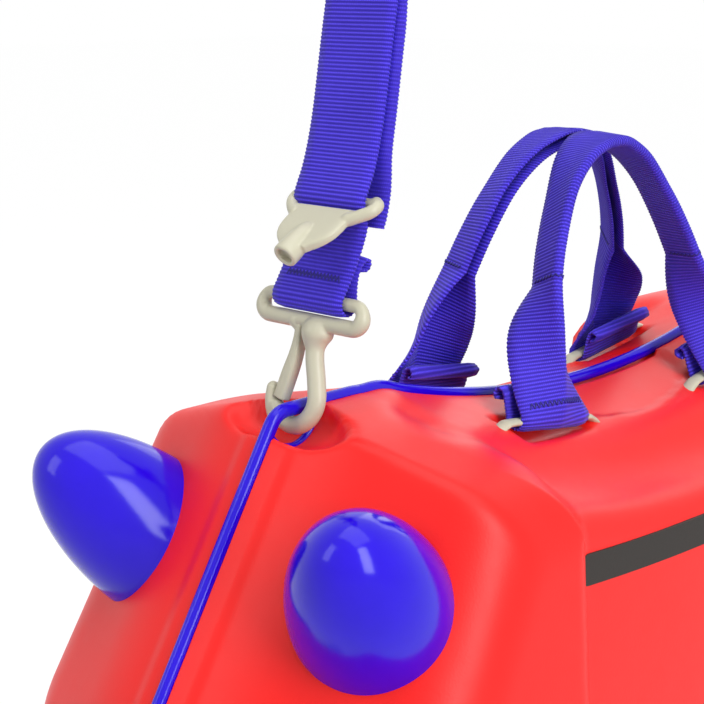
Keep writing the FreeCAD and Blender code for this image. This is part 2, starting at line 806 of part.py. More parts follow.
horn = spheroid(horn_half_length, horn_half_width)
hollow = spheroid(horn_half_length - horn_wall, horn_half_width - horn_wall)
hollow = hollow.cut(rod(horn_near, horn_far, horn_boss_radius))
screw_tip = horn_seat.add(horn_axis * horn_screw_bite)
horn = horn.cut(hollow).cut(outer)
horn = horn.cut(rod(horn_near, screw_tip.add(horn_axis * overrun), horn_screw_radius + hole_play))
both("horn", horn.removeSplitter())
screw_head = rod(horn_inside.sub(horn_axis * horn_screw_head_length), horn_seat, horn_screw_head_radius)
screw_head = screw_head.common(cavity)
screw_low = horn_inside.sub(horn_axis * horn_screw_head_length)
screw = screw_head.fuse(rod(screw_low, screw_tip, horn_screw_radius))
both("horn_screw", screw.removeSplitter())


# Handle anchors
def anchor(end):
    a, b = foot_tops[end]
    solids = [rod(a, b, anchor_radius), Part.makeSphere(anchor_radius, a), Part.makeSphere(anchor_radius, b)]
    for top, low in zip(foot_tops[end], foot_lows[end]):
        solids.append(rod(low.sub(Z_AXIS * (anchor_clip_length + anchor_foot_stub)), top, anchor_radius))
    return join(solids)


anchor_clips = []
for end, word in ((1, "front"), (-1, "rear")):
    both("handle_anchor_" + word, anchor(end))
    for low in foot_lows[end]:
        clip = rod(low.sub(Z_AXIS * anchor_clip_length), low.add(Z_AXIS * wall / 2), anchor_clip_radius)
        anchor_clips.append(clip.common(cavity).cut(anchor(end)))
both("anchor_clips", Part.makeCompound(anchor_clips))

# Handles
loop_inside = anchor_radius + webbing_width / 2 * math.sin(anchor_lean) + loop_gap
loop_outside = loop_inside + webbing_thickness


def webbing_section(middle, run, twist, width, thickness):
    run.normalize()
    normal = Y_AXIS.sub(run * Y_AXIS.dot(run))
    normal.normalize()
    across = normal.cross(run)
    turn = math.radians(twist)
    w = (across * math.cos(turn)).add(normal * math.sin(turn)) * (width / 2)
    n = (normal * math.cos(turn)).sub(across * math.sin(turn)) * (thickness / 2)
    corners = [middle.sub(w).sub(n), middle.add(w).sub(n), middle.add(w).add(n), middle.sub(w).add(n)]
    return Part.makePolygon(corners + [corners[0]])


def handle():
    root = Vector(anchor_reach, anchor_half, anchor_height)
    lean = handle_crest_half - anchor_half
    spots = []
    for reach, lean_share, rise in zip(handle_reach_shares, handle_lean_shares, handle_rise_shares):
        spots.append(Vector(anchor_reach * reach, anchor_half + lean * lean_share,
                            anchor_height + handle_rise * rise))
    start = spots[0].sub(root)
    start.normalize()
    sections = [webbing_section(root.add(start * (loop_inside + webbing_thickness / 2)), Vector(start), 0,
                                webbing_width, grip_thickness * handle_thick_shares[0])]
    for i in range(len(spots)):
        if i + 1 < len(spots):
            run = spots[i + 1].sub(spots[i - 1] if i else root)
        else:
            run = -X_AXIS
        width = webbing_width + (grip_width - webbing_width) * handle_fold_shares[i]
        twist = handle_twist_angle * handle_twist_shares[i]
        thickness = grip_thickness * handle_thick_shares[i]
        sections.append(webbing_section(spots[i], Vector(run), twist, width, thickness))
    leg = Part.makeLoft(sections, True, True)
    loop = along_x(anchor_half, anchor_height, anchor_reach - webbing_width / 2,
                   anchor_reach + webbing_width / 2, loop_outside)
    leg = leg.fuse(loop)
    leg = leg.cut(along_x(anchor_half, anchor_height, anchor_reach - webbing_width,
                          anchor_reach + webbing_width, loop_inside))
    return join([leg, mirrored(leg, X_AXIS)])


both("handle", handle())

# Tow set, built upright at the tow loop and then leaned back
tow_place = Placement(on_xz(tow_hook_reach, seam_roof), Rotation(Y_AXIS, -tow_lean))
ring_right = ring_radius - ring_half
ring_left = -ring_radius - ring_half
ring_low = ring_rise - ring_radius
diagonal = ring_radius * math.sqrt(2) / 2


def snap_hook():
    run = (eye_high - eye_low) / 2
    straight = eye_half - eye_wire - run
    solids = [along_y(0, z, -straight, straight, eye_wire) for z in (eye_low, eye_high)]
    for side in (-1, 1):
        disc = Part.Face(Part.Wire(Part.makeCircle(eye_wire, on_yz(side * straight, eye_high), Y_AXIS)))
        solids.append(disc.revolve(on_yz(side * straight, eye_low + run), X_AXIS, -side * 180))
    path = outline_edges([(shank_half, eye_low), (ring_right, shoulder_rise), (ring_right, ring_rise)],
                         [0, shoulder_round, 0], on_yz, False)
    path.append(Part.Arc(on_yz(ring_right, ring_rise), on_yz(diagonal - ring_half, ring_rise - diagonal),
                         on_yz(-ring_half, ring_low)).toShape())
    path.append(Part.Arc(on_yz(-ring_half, ring_low), on_yz(-diagonal - ring_half, ring_rise - diagonal),
                         on_yz(ring_left, ring_rise)).toShape())
    path.append(Part.makeLine(on_yz(ring_left, ring_rise), on_yz(ring_left, hook_tip_rise)))
    solids.append(tube(path, hook_wire))
    solids.append(Part.makeSphere(nib_radius, on_yz(ring_left, hook_tip_rise)))
    solids.append(Part.makeSphere(hook_wire, on_yz(shank_half, eye_low)))
    whole = join(solids)
    return whole.cut(along_x(-gate_root_half, gate_root_rise, -2 * hook_wire, 2 * hook_wire,
                             gate_root_radius + gate_gap)).removeSplitter()


def hook_gate():
    root = on_yz(-gate_root_half, gate_root_rise)
    tip = on_yz(ring_left + nib_radius + gate_gap + gate_radius, gate_tip_rise)
    solids = [along_x(-gate_root_half, gate_root_rise, -hook_wire, hook_wire, gate_root_radius),
              rod(root, tip, gate_radius), Part.makeSphere(gate_radius, tip)]
    return join(solids)


upper_turn = Placement(on_xz(0, 2 * eye_high + strap_length), Rotation(X_AXIS, 180))


def placed(shape, place):
    moved = shape.copy()
    moved.Placement = place.multiply(moved.Placement)
    return moved


keep("tow_hook", placed(snap_hook(), tow_place))
keep("tow_hook_gate", placed(hook_gate(), tow_place))
keep("upper_hook", placed(snap_hook(), tow_place.multiply(upper_turn)))
keep("upper_hook_gate", placed(hook_gate(), tow_place.multiply(upper_turn)))

# Tow strap: an end loop round each eye, each sewn back on itself, and a small loop for the key
strap_bore = eye_wire + strap_loop_gap
strap_half = strap_width / 2
key_bore = key_bar_radius + strap_loop_gap
key_x = strap_thickness / 2
key_z = eye_high + key_rise
strap_top = eye_high + strap_length
strap_solids = []
strap_bores = []
for z in (eye_high, strap_top):
    strap_solids.append(along_y(0, z, -strap_half, strap_half, strap_bore + strap_thickness))
    strap_bores.append(along_y(0, z, -strap_width, strap_width, strap_bore))
strap_solids.append(along_y(key_x, key_z, -strap_half, strap_half, key_bore + strap_thickness))
strap_bores.append(along_y(key_x, key_z, -strap_width, strap_width, key_bore))
strap_low_root = eye_high + strap_bore
strap_top_root = strap_top - strap_bore
strap_layers = [(0, strap_low_root, strap_top_root),
                (-strap_thickness, strap_low_root, eye_high + strap_tail),
                (-strap_thickness, strap_top - strap_tail, strap_top_root)]
for x, z0, z1 in strap_layers:
    strap_solids.append(box(x, x + strap_thickness, -strap_half, strap_half, z0, z1))
keep("tow_strap", placed(join(strap_solids).cut(strap_bores).removeSplitter(), tow_place))

# Key: a tapered plate with a window for the strap's loop, hung on its crossbar
key_low = key_z - key_length
key_points = [(-key_low_width / 2, key_low), (key_low_width / 2, key_low),
              (key_top_width / 2, key_z), (-key_top_width / 2, key_z)]
plate = outline_face(key_points, [0, 0, 0, 0], on_yz)
plate.translate(X_AXIS * (key_x - key_thickness / 2))
plate = plate.extrude(X_AXIS * key_thickness)
window_half = strap_half + key_window_gap
window_drop = key_bore + strap_thickness + key_window_gap
plate = plate.cut(box(key_x - key_thickness, key_x + key_thickness, -window_half, window_half,
                      key_z - window_drop, key_z + key_thickness))
key_end = key_low - key_tip_length
tip = along_z(key_x, 0, key_end, key_low + key_tip_radius, key_tip_radius)
key_bar = along_y(key_x, key_z, -key_bar_length / 2, key_bar_length / 2, key_bar_radius)
lug_root = key_bar_length / 2 - key_lug_length
lug_roots = (lug_root, -key_bar_length / 2)
lugs = [along_y(key_x, key_z, y, y + key_lug_length, key_lug_radius) for y in lug_roots]
key = join([plate, tip, key_bar] + lugs)
key = key.cut(along_z(key_x, 0, key_end, key_end + key_bore_depth, key_tip_bore)).removeSplitter()
key.rotate(on_xz(key_x, key_z), Y_AXIS, -key_angle)
keep("strap_key", placed(key, tow_place))

# Side stripes
stripe_half = stripe_height / 2
stripe_length = 2 * (block_back - stripe_end_gap)
stripe_middle_height = ledge_rim_height - stripe_rim_gap
stripe_round = stripe_half - stripe_thickness
stripe_points = [(-stripe_length / 2, stripe_middle_height - stripe_half),
                 (stripe_length / 2, stripe_middle_height - stripe_half),
                 (stripe_length / 2, stripe_middle_height + stripe_half),
                 (-stripe_length / 2, stripe_middle_height + stripe_half)]
stripe = outline_face(stripe_points, [stripe_round] * len(stripe_points), on_xz)
stripe.translate(Y_AXIS * waist_half)
both("side_stripe", stripe.extrude(Y_AXIS * stripe_thickness))

# Packing straps across the right shell, crossed under a buckle
pack_straps = []
for layer, turn in ((0, -pack_angle), (1, pack_angle)):
    y0 = pack_half + layer * pack_thickness
    band = box(-far, far, y0, y0 + pack_thickness,
               pack_height - pack_width / 2, pack_height + pack_width / 2)
    band.rotate(on_xz(0, pack_height), Y_AXIS, turn)
    pack_straps.append(max(band.common(cavity).Solids, key=lambda q: q.Volume))
keep("packing_straps", mirrored(Part.makeCompound(pack_straps), Y_AXIS))
buckle_points = [(-buckle_length / 2, pack_height - buckle_height / 2),
                 (buckle_length / 2, pack_height - buckle_height / 2),
                 (buckle_length / 2, pack_height + buckle_height / 2),
                 (-buckle_length / 2, pack_height + buckle_height / 2)]
buckle = outline_face(buckle_points, [buckle_round] * len(buckle_points), on_xz)
buckle.translate(Y_AXIS * (pack_half - buckle_thickness))
keep("packing_buckle", mirrored(buckle.extrude(Y_AXIS * buckle_thickness), Y_AXIS))

for name, shape in nodes.items():
    shape.exportStep("parts/" + name + ".step")
    print(name, len(shape.Solids), shape.isValid(), round(shape.Volume))
print(len(nodes), "nodes")
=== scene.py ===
# %% [markdown]
# # Ride-on suitcase
# A hard case for a child: two red plastic shells that meet on the plane y = 0, a blue seal along
# the seam, horns, webbing handles and a tow strap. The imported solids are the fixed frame. Each cell
# dresses one piece of them: a surface worked out with numpy, and a finish made of shader nodes.

# %% Load the frame
import math
import bmesh
import bpy
import numpy as np
from mathutils import Matrix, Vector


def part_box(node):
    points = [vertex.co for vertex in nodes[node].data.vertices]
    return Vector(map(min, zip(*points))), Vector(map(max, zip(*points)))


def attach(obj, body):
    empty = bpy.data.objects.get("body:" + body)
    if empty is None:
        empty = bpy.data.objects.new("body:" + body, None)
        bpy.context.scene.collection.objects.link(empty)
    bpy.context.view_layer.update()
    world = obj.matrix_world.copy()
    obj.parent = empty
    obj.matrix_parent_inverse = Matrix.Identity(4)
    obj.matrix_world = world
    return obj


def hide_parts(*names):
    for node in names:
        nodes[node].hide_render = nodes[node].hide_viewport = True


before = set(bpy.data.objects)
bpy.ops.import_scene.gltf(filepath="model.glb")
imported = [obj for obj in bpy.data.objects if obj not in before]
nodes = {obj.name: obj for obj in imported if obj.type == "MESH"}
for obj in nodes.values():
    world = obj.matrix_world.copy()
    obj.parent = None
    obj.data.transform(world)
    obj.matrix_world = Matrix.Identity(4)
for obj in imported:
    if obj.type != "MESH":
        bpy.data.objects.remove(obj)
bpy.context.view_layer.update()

MM = 0.001
print("solids loaded:", len(nodes))

# %% [markdown]
# ## Camera
# The viewing angle was found from the seam, the bars of the handles and the hook: 12.6 degrees down,
# 43.2 degrees round from the front towards the left side, through a lens of 85 mm. A Track To
# constraint could aim the camera. Here its three axes are worked out and put into its matrix, so that
# the same axes can be used to measure things in the picture.

# %% Camera
camera_at = np.array([518.0, 365.6, 441.4])
yaw, dip = math.radians(43.2), math.radians(12.6)
back = np.array([math.cos(yaw) * math.cos(dip), math.sin(yaw) * math.cos(dip), math.sin(dip)])
right = np.array([-math.sin(yaw), math.cos(yaw), 0.0])
up = np.cross(back, right)
lens = bpy.data.cameras.new("camera")
lens.lens = 85.0
lens.sensor_width = 36.0
lens.shift_y = -0.0149
lens.clip_start = 0.01
camera = bpy.data.objects.new("camera", lens)
turn = Matrix([[*row, 0.0] for row in np.stack([right, up, back], axis=1)] + [[0.0, 0.0, 0.0, 1.0]])
camera.matrix_world = Matrix.Translation(camera_at * MM) @ turn
bpy.context.scene.collection.objects.link(camera)
bpy.context.scene.camera = camera
bpy.context.scene.view_settings.view_transform = "Standard"
print("camera at", camera_at)

# %% [markdown]
# ## Shader maths
# A finish is a small graph of nodes. It could be drawn by hand in the shader editor, or built with a
# line for each node and link. Wrapping a socket in a class is shorter and reads as maths: the
# expression `1 - mask * 0.4` adds its Math nodes by itself.


# %% Sockets that can be added and multiplied
class Value:
    """A node's output socket. Operators add Math nodes to the same tree."""

    def __init__(self, finish, socket):
        self.finish = finish
        self.socket = socket

    def math(self, operation, *others):
        return self.finish.node("ShaderNodeMath", {"operation": operation}, {0: self, **dict(enumerate(others, 1))})

    def __add__(self, other):
        return self.math("ADD", other)

    def __mul__(self, other):
        return self.math("MULTIPLY", other)

    def __sub__(self, other):
        return self.math("SUBTRACT", other)

    def __rsub__(self, other):
        return self.finish.node("ShaderNodeMath", {"operation": "SUBTRACT"}, {0: other, 1: self})

    def __truediv__(self, other):
        return self.math("DIVIDE", other)

    def __pow__(self, other):
        return self.math("POWER", other)

    __radd__ = __add__
    __rmul__ = __mul__


class Finish:
    """One material. node() adds any node: its settings first, then its sockets' values or links."""

    def __init__(self, name):
        self.material = bpy.data.materials.new(name)
        self.material.use_nodes = True
        self.tree = self.material.node_tree
        self.tree.nodes.clear()

    def node(self, kind, settings=None, inputs=None, output=0):
        made = self.tree.nodes.new(kind)
        for key, value in (settings or {}).items():
            setattr(made, key, value)
        for key, value in (inputs or {}).items():
            if isinstance(value, Value):
                self.tree.links.new(value.socket, made.inputs[key])
            else:
                made.inputs[key].default_value = value
        return Value(self, made.outputs[output]) if len(made.outputs) else None

    def coords(self, output="Object"):
        return self.node("ShaderNodeTexCoord", output=output)

    def parts(self, vector):
        """The three numbers of a vector."""
        made = self.node("ShaderNodeSeparateXYZ", inputs={0: vector})
        return [Value(self, socket) for socket in made.socket.node.outputs]

    def noise(self, scale, detail=2.0, rough=0.5, vector=None):
        return self.node("ShaderNodeTexNoise", {}, {"Vector": vector or self.coords(), "Scale": scale,
                                                    "Detail": detail, "Roughness": rough})

    def wave(self, value):
        """Sine of a value, moved to the range 0 to 1."""
        return value.math("SINE") * 0.5 + 0.5

    def mix(self, share, a, b):
        return self.node("ShaderNodeMix", {"data_type": "RGBA"}, {0: share, 6: a, 7: b}, output=2)

    def bump(self, height, distance, strength=1.0):
        return self.node("ShaderNodeBump", {}, {"Height": height, "Distance": distance, "Strength": strength})

    def surface(self, **sockets):
        """Principled shader on the output; a name's underscores stand for spaces."""
        shader = self.node("ShaderNodeBsdfPrincipled", {}, {k.replace("_", " "): v for k, v in sockets.items()})
        self.node("ShaderNodeOutputMaterial", {}, {"Surface": shader})
        return self.material


def rgb(r, g, b):
    """A colour given as 0 to 255 on a screen, as the linear numbers that a shader takes."""
    share = np.array([r, g, b]) / 255.0
    linear = np.where(share <= 0.04045, share / 12.92, ((share + 0.055) / 1.055) ** 2.4)
    return (*[float(v) for v in linear], 1.0)


print("shader maths ready")

# %% [markdown]
# ## Meshes from arrays
# Every new piece is a grid of points. It could be modelled by hand or with bmesh, one vertex at a time.
# The faces of a grid are index arithmetic, so no loop over vertices is needed, and foreach_set copies
# whole arrays into the mesh, which stays quick with a hundred thousand points.


# %% Grid faces and pieces
def unit(vectors):
    """Each vector divided by its own length."""
    return vectors / np.linalg.norm(vectors, axis=-1, keepdims=True)


def turns(count):
    """Angles once round a circle, without the one that would repeat the first."""
    return np.linspace(0.0, 2 * math.pi, count, endpoint=False)


def grid_faces(rows, columns, wrap_rows=False, wrap_columns=False, first=0):
    """Quads of a grid of points stored row by row; wrap joins the last row or column to the first one."""
    r = np.arange(rows if wrap_rows else rows - 1)[:, None]
    c = np.arange(columns if wrap_columns else columns - 1)[None, :]
    r2, c2 = (r + 1) % rows, (c + 1) % columns
    quads = np.stack([r * columns + c, r * columns + c2, r2 * columns + c2, r2 * columns + c], axis=-1)
    return quads.reshape(-1, 4) + first


def make_piece(name, points, faces, material, body, replaced=(), slot=None, uv=None, sharp=None, merge=0.0):
    """Mesh object from points in mm, shape (n, 3), and faces, shape (m, 4); uv has one pair per point."""
    mesh = bpy.data.meshes.new(name)
    points = np.asarray(points, dtype=float).reshape(-1, 3) * MM
    faces = np.asarray(faces).reshape(-1, 4)
    mesh.vertices.add(len(points))
    mesh.vertices.foreach_set("co", points.ravel())
    mesh.loops.add(faces.size)
    mesh.loops.foreach_set("vertex_index", faces.ravel())
    mesh.polygons.add(len(faces))
    mesh.polygons.foreach_set("loop_start", np.arange(len(faces)) * 4)
    if uv is not None:
        layer = mesh.uv_layers.new(name="UVMap")
        layer.data.foreach_set("uv", np.asarray(uv, dtype=float).reshape(-1, 2)[faces.ravel()].ravel())
    mesh.update(calc_edges=True)
    mesh.validate()
    if merge > 0:
        work = bmesh.new()
        work.from_mesh(mesh)
        bmesh.ops.remove_doubles(work, verts=work.verts, dist=merge * MM)
        work.to_mesh(mesh)
        work.free()
    mesh.polygons.foreach_set("use_smooth", np.ones(len(mesh.polygons), dtype=bool))
    if sharp is not None:
        mesh.set_sharp_from_angle(angle=math.radians(sharp))
    mesh.materials.append(material)
    piece = bpy.data.objects.new(name, mesh)
    bpy.context.scene.collection.objects.link(piece)
    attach(piece, body)
    if replaced:
        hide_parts(*replaced)
    print(name, len(points), "points")
    return piece


print("helpers for grids ready")

# %% [markdown]
# ## Floor and light
# A product picture has a white sweep of paper and soft lamps. More light would whiten the paper but
# also wash out the object. So the floor glows only for rays that look at it, keeps the object's soft
# shadow, and the lamps stay low: a wide one overhead, a tall strong one at the right for the long
# highlights, and weak ones at the left and behind.


# %% Floor and light
def looked_at(finish):
    """One for rays that the camera, a mirror or glass sends out, zero for rays that only carry light."""
    paths = finish.node("ShaderNodeLightPath").socket.node.outputs
    rays = [Value(finish, paths[name]) for name in ("Is Camera Ray", "Is Glossy Ray", "Is Transmission Ray")]
    return (rays[0] + rays[1] + rays[2]).math("MINIMUM", 1.0)


floor_finish = Finish("pale_floor")
pale = floor_finish.node("ShaderNodeBsdfDiffuse", {}, {"Color": (0.82, 0.82, 0.82, 1.0)})
white = floor_finish.node("ShaderNodeEmission", {}, {"Color": (1.0, 1.0, 1.0, 1.0), "Strength": 1.06})
both = floor_finish.node("ShaderNodeMixShader", {}, {0: looked_at(floor_finish) * 0.91, 1: pale, 2: white})
floor_finish.node("ShaderNodeOutputMaterial", {}, {"Surface": both})
floor_mesh = bpy.data.meshes.new("floor")
floor_mesh.from_pydata([(-8, -8, 0), (8, -8, 0), (8, 8, 0), (-8, 8, 0)], [], [(0, 1, 2, 3)])
floor_mesh.materials.append(floor_finish.material)
floor = bpy.data.objects.new("floor", floor_mesh)
bpy.context.scene.collection.objects.link(floor)

studio = bpy.data.worlds.new("studio")
bpy.context.scene.world = studio
studio.use_nodes = True
sky = Finish.__new__(Finish)
sky.tree = studio.node_tree
sky.tree.nodes.clear()
glow = sky.node("ShaderNodeBackground", {}, {"Color": (1.0, 1.0, 1.0, 1.0),
                                             "Strength": looked_at(sky) * 0.58 + 0.42})
sky.node("ShaderNodeOutputWorld", {}, {"Surface": glow})


def lamp(name, place, target, size, power):
    """A soft rectangular lamp at place, turned to face target."""
    light = bpy.data.lights.new(name, "AREA")
    light.shape = "RECTANGLE"
    light.size, light.size_y = size
    light.energy = power
    holder = bpy.data.objects.new(name, light)
    away = unit(np.array(place) - np.array(target))
    side = unit(np.cross((0.0, 0.0, 1.0) if abs(away[2]) < 0.95 else (1.0, 0.0, 0.0), away))
    axes = np.stack([side, np.cross(away, side), away], axis=1)
    holder.matrix_world = Matrix.Translation(place) @ Matrix(axes.tolist()).to_4x4()
    bpy.context.scene.collection.objects.link(holder)


middle = (0.05, 0.0, 0.25)
lamp("lamp_over", (0.10, 0.10, 1.75), middle, (1.5, 1.1), 9.6)
lamp("lamp_left", (1.35, -0.62, 1.05), middle, (0.5, 0.9), 4.0)
lamp("lamp_right", (0.46, 1.28, 0.95), middle, (0.52, 1.35), 17.0)
lamp("lamp_behind", (-1.5, -0.6, 1.0), middle, (1.0, 0.8), 3.0)
print("floor and lamps set")

# %% [markdown]
# ## Shape of the case
# The two shells are blow-moulded, and such plastic has no sharp corner. Boxes with bevels could be cut
# from each other, but their rounds would break where three of them meet. So the case is a field: a
# number for each point of space, below zero inside. Soft maxima cut planes off each other with a round
# edge, and soft minima join two bodies with a round hollow. The head's field comes from its side
# outline, pushed back and down with the distance from the seam. The saddle's section is swept round a
# circle.


# %% Soft maxima and minima
def soft_max(a, b, reach):
    """The larger of a and b, with a parabola where they are closer than reach."""
    share = np.maximum(reach - np.abs(a - b), 0.0) / reach
    return np.maximum(a, b) + share * share * reach / 4


def soft_min(a, b, reach):
    """The smaller of a and b, rounded in the same way."""
    return -soft_max(-a, -b, reach)


def ease(value, low, high):
    """Zero below low, one above high, and a smooth S between."""
    t = np.clip((value - low) / (high - low), 0.0, 1.0)
    return t * t * (3 - 2 * t)


print("a soft corner of reach 4 adds", soft_max(np.array(0.0), np.array(0.0), 4.0), "mm")

# %% Field of the case
roof, belly, nose, nose_high, nose_low = 305.0, 22.0, 222.0, 211.0, 105.0
wall, lip_wall, flank_half = 3.0, 5.0, 102.0
seat_axis, seat_middle, seat_half, seat_edge = 687.5, 287.5, 38.0, 278.8
ledge_height, ledge_start, waist_half, saddle_half = 263.0, 56.0, 75.0, 124.0
tow_reach, tow_height, tow_dish = 157.0, 303.5, (11.5, 27.0, 11.2)
wheel_reach, wheel_radius, arch_radius, arch_half = 152.0, 27.0, 31.0, 64.0
boss_radius, boss_near, boss_far = 10.0, 44.0, 66.0
anchor_reach, anchor_half, anchor_height = 59.6, 29.5, 289.0
slot_radius, slot_half = 8.6, 22.5
bead_radius, bead_play, bead_sink, bead_end = 2.4, 0.15, 0.3, 36.0


def slump(y, near, beyond, crest=25.0):
    """How far the surface has moved at a distance y from the seam: one slope, then a steeper one."""
    return near * y + (beyond - near) * soft_max(y - crest, 0.0 * y, 14.0)


def head_field(x, y, z):
    """End block: nose, brow, roof and chin planes, a drafted flank, and a back that drops to the saddle."""
    lip = 1.3 * ease(x, 150.0, 172.0) * ease(y, 8.0, 14.0)
    far_x = x + slump(y, 0.07, 0.27) + lip
    far_z = z + slump(y, 0.09, 0.30)
    brow = 0.851 * (far_x - nose) + 0.525 * (far_z - nose_high)
    chin = 0.993 * (far_x - nose) - 0.120 * (far_z - nose_low)
    outline = soft_max(soft_max(far_x - nose, brow, 7.0), far_z - roof, 4.0)
    outline = soft_max(outline, chin, 2.0)
    flank = 0.998 * (y - flank_half + 0.0698 * (z - belly))
    rear = 99.0 + 10.0 * ease(y, 6.0, 25.0) - 10.0 * ease(y, 32.0, 58.0) + 10.0 * ease(y, 56.0, 86.0) - x
    return np.maximum(np.maximum(soft_max(outline, flank, 22.0), soft_max(outline, rear, 32.0)),
                      soft_max(flank, rear, 9.0))


def saddle_field(x, y, z):
    """Seat, steep flank, leg ledge and side wall: a section carried round a circle above the seat."""
    level = seat_axis - np.hypot(x, seat_axis - z)
    seat = 0.975 * (level - seat_middle + 0.23 * y)
    flank = 0.66 * (y - seat_half) + 0.751 * (level - seat_edge)
    ledge = 0.995 * (level - ledge_height + 0.10 * (y - ledge_start))
    top = soft_min(soft_max(seat, flank, 5.0), ledge, 9.0)
    return soft_max(soft_max(top, y - waist_half, 12.0), x - saddle_half, 14.0)


def case_field(x, y, z, inset=0.0, scoop=True):
    """Half of the case, y counted away from the seam; inset moves the surface inwards, as for its inside."""
    x = np.abs(x)
    body = soft_min(head_field(x, y, z), saddle_field(x, y, z), 4.0 + 5.0 * ease(y, 30.0, 50.0)) + inset
    if scoop:
        dish = np.sqrt(((x - tow_reach - 0.17 * y) / tow_dish[0]) ** 2 + (y / tow_dish[1]) ** 2
                       + ((z - tow_height) / tow_dish[2]) ** 2)
        body = soft_max(body, inset - (dish - 1) * tow_dish[2], 2.0)
    arch = np.hypot(x - wheel_reach, z - wheel_radius) - arch_radius
    arch = soft_max(arch, arch_half - y, 4.0)
    body = soft_max(body, inset - arch, 3.0)
    slot = soft_max(np.hypot(y - anchor_half, z - anchor_height) - slot_radius,
                    np.abs(x - anchor_reach) - slot_half, 4.0)
    body = soft_max(body, inset - slot, 2.5)
    return soft_max(body, belly + inset - z, 5.0)


def boss_field(x, y, z):
    """The tube that holds an axle, on the inside of the wheel arch."""
    return soft_max(np.hypot(np.abs(x) - wheel_reach, z - wheel_radius) - boss_radius, boss_near - y, 3.0)


def outside(x, y, z):
    """Outer skin: the field with the seal's groove, the oval dish in the seat and the axle bosses."""
    plain = case_field(x, y, z, scoop=False)
    body = case_field(x, y, z)
    groove = bead_radius + bead_play - np.hypot(plain + bead_sink, y)
    body = np.maximum(body, np.where(z > bead_end, groove, -1.0))
    oval = np.hypot(x / 50.0, (y - 8.0) / 22.5)
    body = body + np.where(z > 270.0, 1.1 * (1 - ease(oval, 0.97, 1.03)), 0.0)
    return soft_min(body, np.maximum(boss_field(x, y, z), y - boss_far), 4.0)


def inside(x, y, z):
    """Inner skin: a wall's thickness further in, more at the mouth, and round the axle bosses."""
    body = case_field(x, y, z, wall + lip_wall * (1 - ease(y, 7.0, 11.0)))
    return soft_max(body, -boss_field(x, y, z), 3.0)


print("field at the middle of the left half:", case_field(np.array(0.0), np.array(30.0), np.array(150.0)))

# %% [markdown]
# ## Skin of the case
# The skin is what is seen of each shell, and its inside. Marching cubes could draw it from the field,
# with a mesh that steps along every edge. Rays give a tidy grid: each ray starts on a spine in the seam
# plane and stops where the field turns positive. Going round the mouth picks the ray's start and
# heading, going from the seam to the side lifts it. Rows are packed near the seam, where the groove is.


# %% Rays from a spine
spine_half, spine_height, seat_rise, side_reach = 150.0, 150.0, 137.0, 85.0


def spaced(*stops):
    """Numbers through the stops (start, count, next start, count, ..., end), each run evenly divided."""
    runs = [np.linspace(*stops[i:i + 3:2], stops[i + 1], endpoint=False) for i in range(0, len(stops) - 2, 2)]
    return np.append(np.concatenate(runs), stops[-1])


def mouth_columns():
    """Start x and heading angle of each column, once round the mouth: saddle, nose, belly, tail.
    Over the saddle a ray lands two thirds as far from the middle as it starts, so that the walls
    behind the heads are crossed and not grazed."""
    seat_x = np.linspace(-spine_half / 1.5, spine_half / 1.5, 71)
    over = np.degrees(np.arctan2(seat_rise, -0.5 * seat_x))
    fan = spaced(over[-1], 22, 95.0, 40, 78.0, 58, 20.0, 34, -48.0, 40, -90.0, 12, -over[-1])
    x = np.concatenate([1.5 * seat_x[:-1], np.full(len(fan) - 1, spine_half), -1.5 * seat_x[:-1],
                        np.full(len(fan) - 1, -spine_half)])
    angle = np.concatenate([over[:-1], fan[:-1], -over[::-1][:-1], 180.0 - fan[::-1][:-1]])
    return x, np.radians(angle)


def cast(field, start, heading, first=60.0, last=204.0, step=4.0, halvings=13):
    """Distance along each ray at which the field first turns positive: coarse steps, then halving."""
    def value(distance):
        spot = start + heading * distance[..., None]
        return field(spot[..., 0], spot[..., 1], spot[..., 2])
    low = np.full(heading.shape[:-1], first)
    going = np.ones(low.shape, dtype=bool)
    for distance in np.arange(first + step, last, step):
        going &= value(np.full(low.shape, distance)) < 0
        low = np.where(going, distance, low)
    high = low + step
    for _ in range(halvings):
        half = (low + high) / 2
        within = value(half) < 0
        low, high = np.where(within, half, low), np.where(within, high, half)
    return (low + high) / 2


def skin(field, seam_rows, side_rows):
    """Grid of points on the field: rows at given distances from the seam, then side_rows to the side,
    evenly spaced along the surface, found with a first cast twice as fine."""
    x, angle = mouth_columns()
    start = np.stack([x, 0 * x, 0 * x + spine_height], axis=-1)
    flat = np.stack([np.cos(angle), 0 * angle, np.sin(angle)], axis=-1)
    side = unit(np.stack([-x / 3, 0 * x + side_reach, 0 * x], axis=-1))

    def spots(lift):
        heading = unit(flat * np.cos(lift)[..., None] + side * np.sin(lift)[..., None])
        begin = np.broadcast_to(start, heading.shape)
        return begin + heading * cast(field, begin, heading)[..., None]

    rim = np.linalg.norm(spots(np.zeros((1, len(x))))[0] - start, axis=-1)
    near = np.arcsin(np.clip(np.array(seam_rows)[:, None] / (rim * side[:, 1]), 0.0, 0.9))
    fine = near[-1] + (math.pi / 2 - near[-1]) * np.linspace(0.0, 1.0, 2 * side_rows + 1)[:, None]
    steps = np.linalg.norm(np.diff(spots(fine), axis=0), axis=-1)
    along = np.concatenate([0 * steps[:1], np.cumsum(steps + 0.2, axis=0)])
    even = np.linspace(0.0, 1.0, side_rows + 1)[1:]
    lifts = np.stack([np.interp(even * run[-1], run, angles) for run, angles in zip(along.T, fine.T)], axis=1)
    return spots(np.concatenate([near, lifts]))


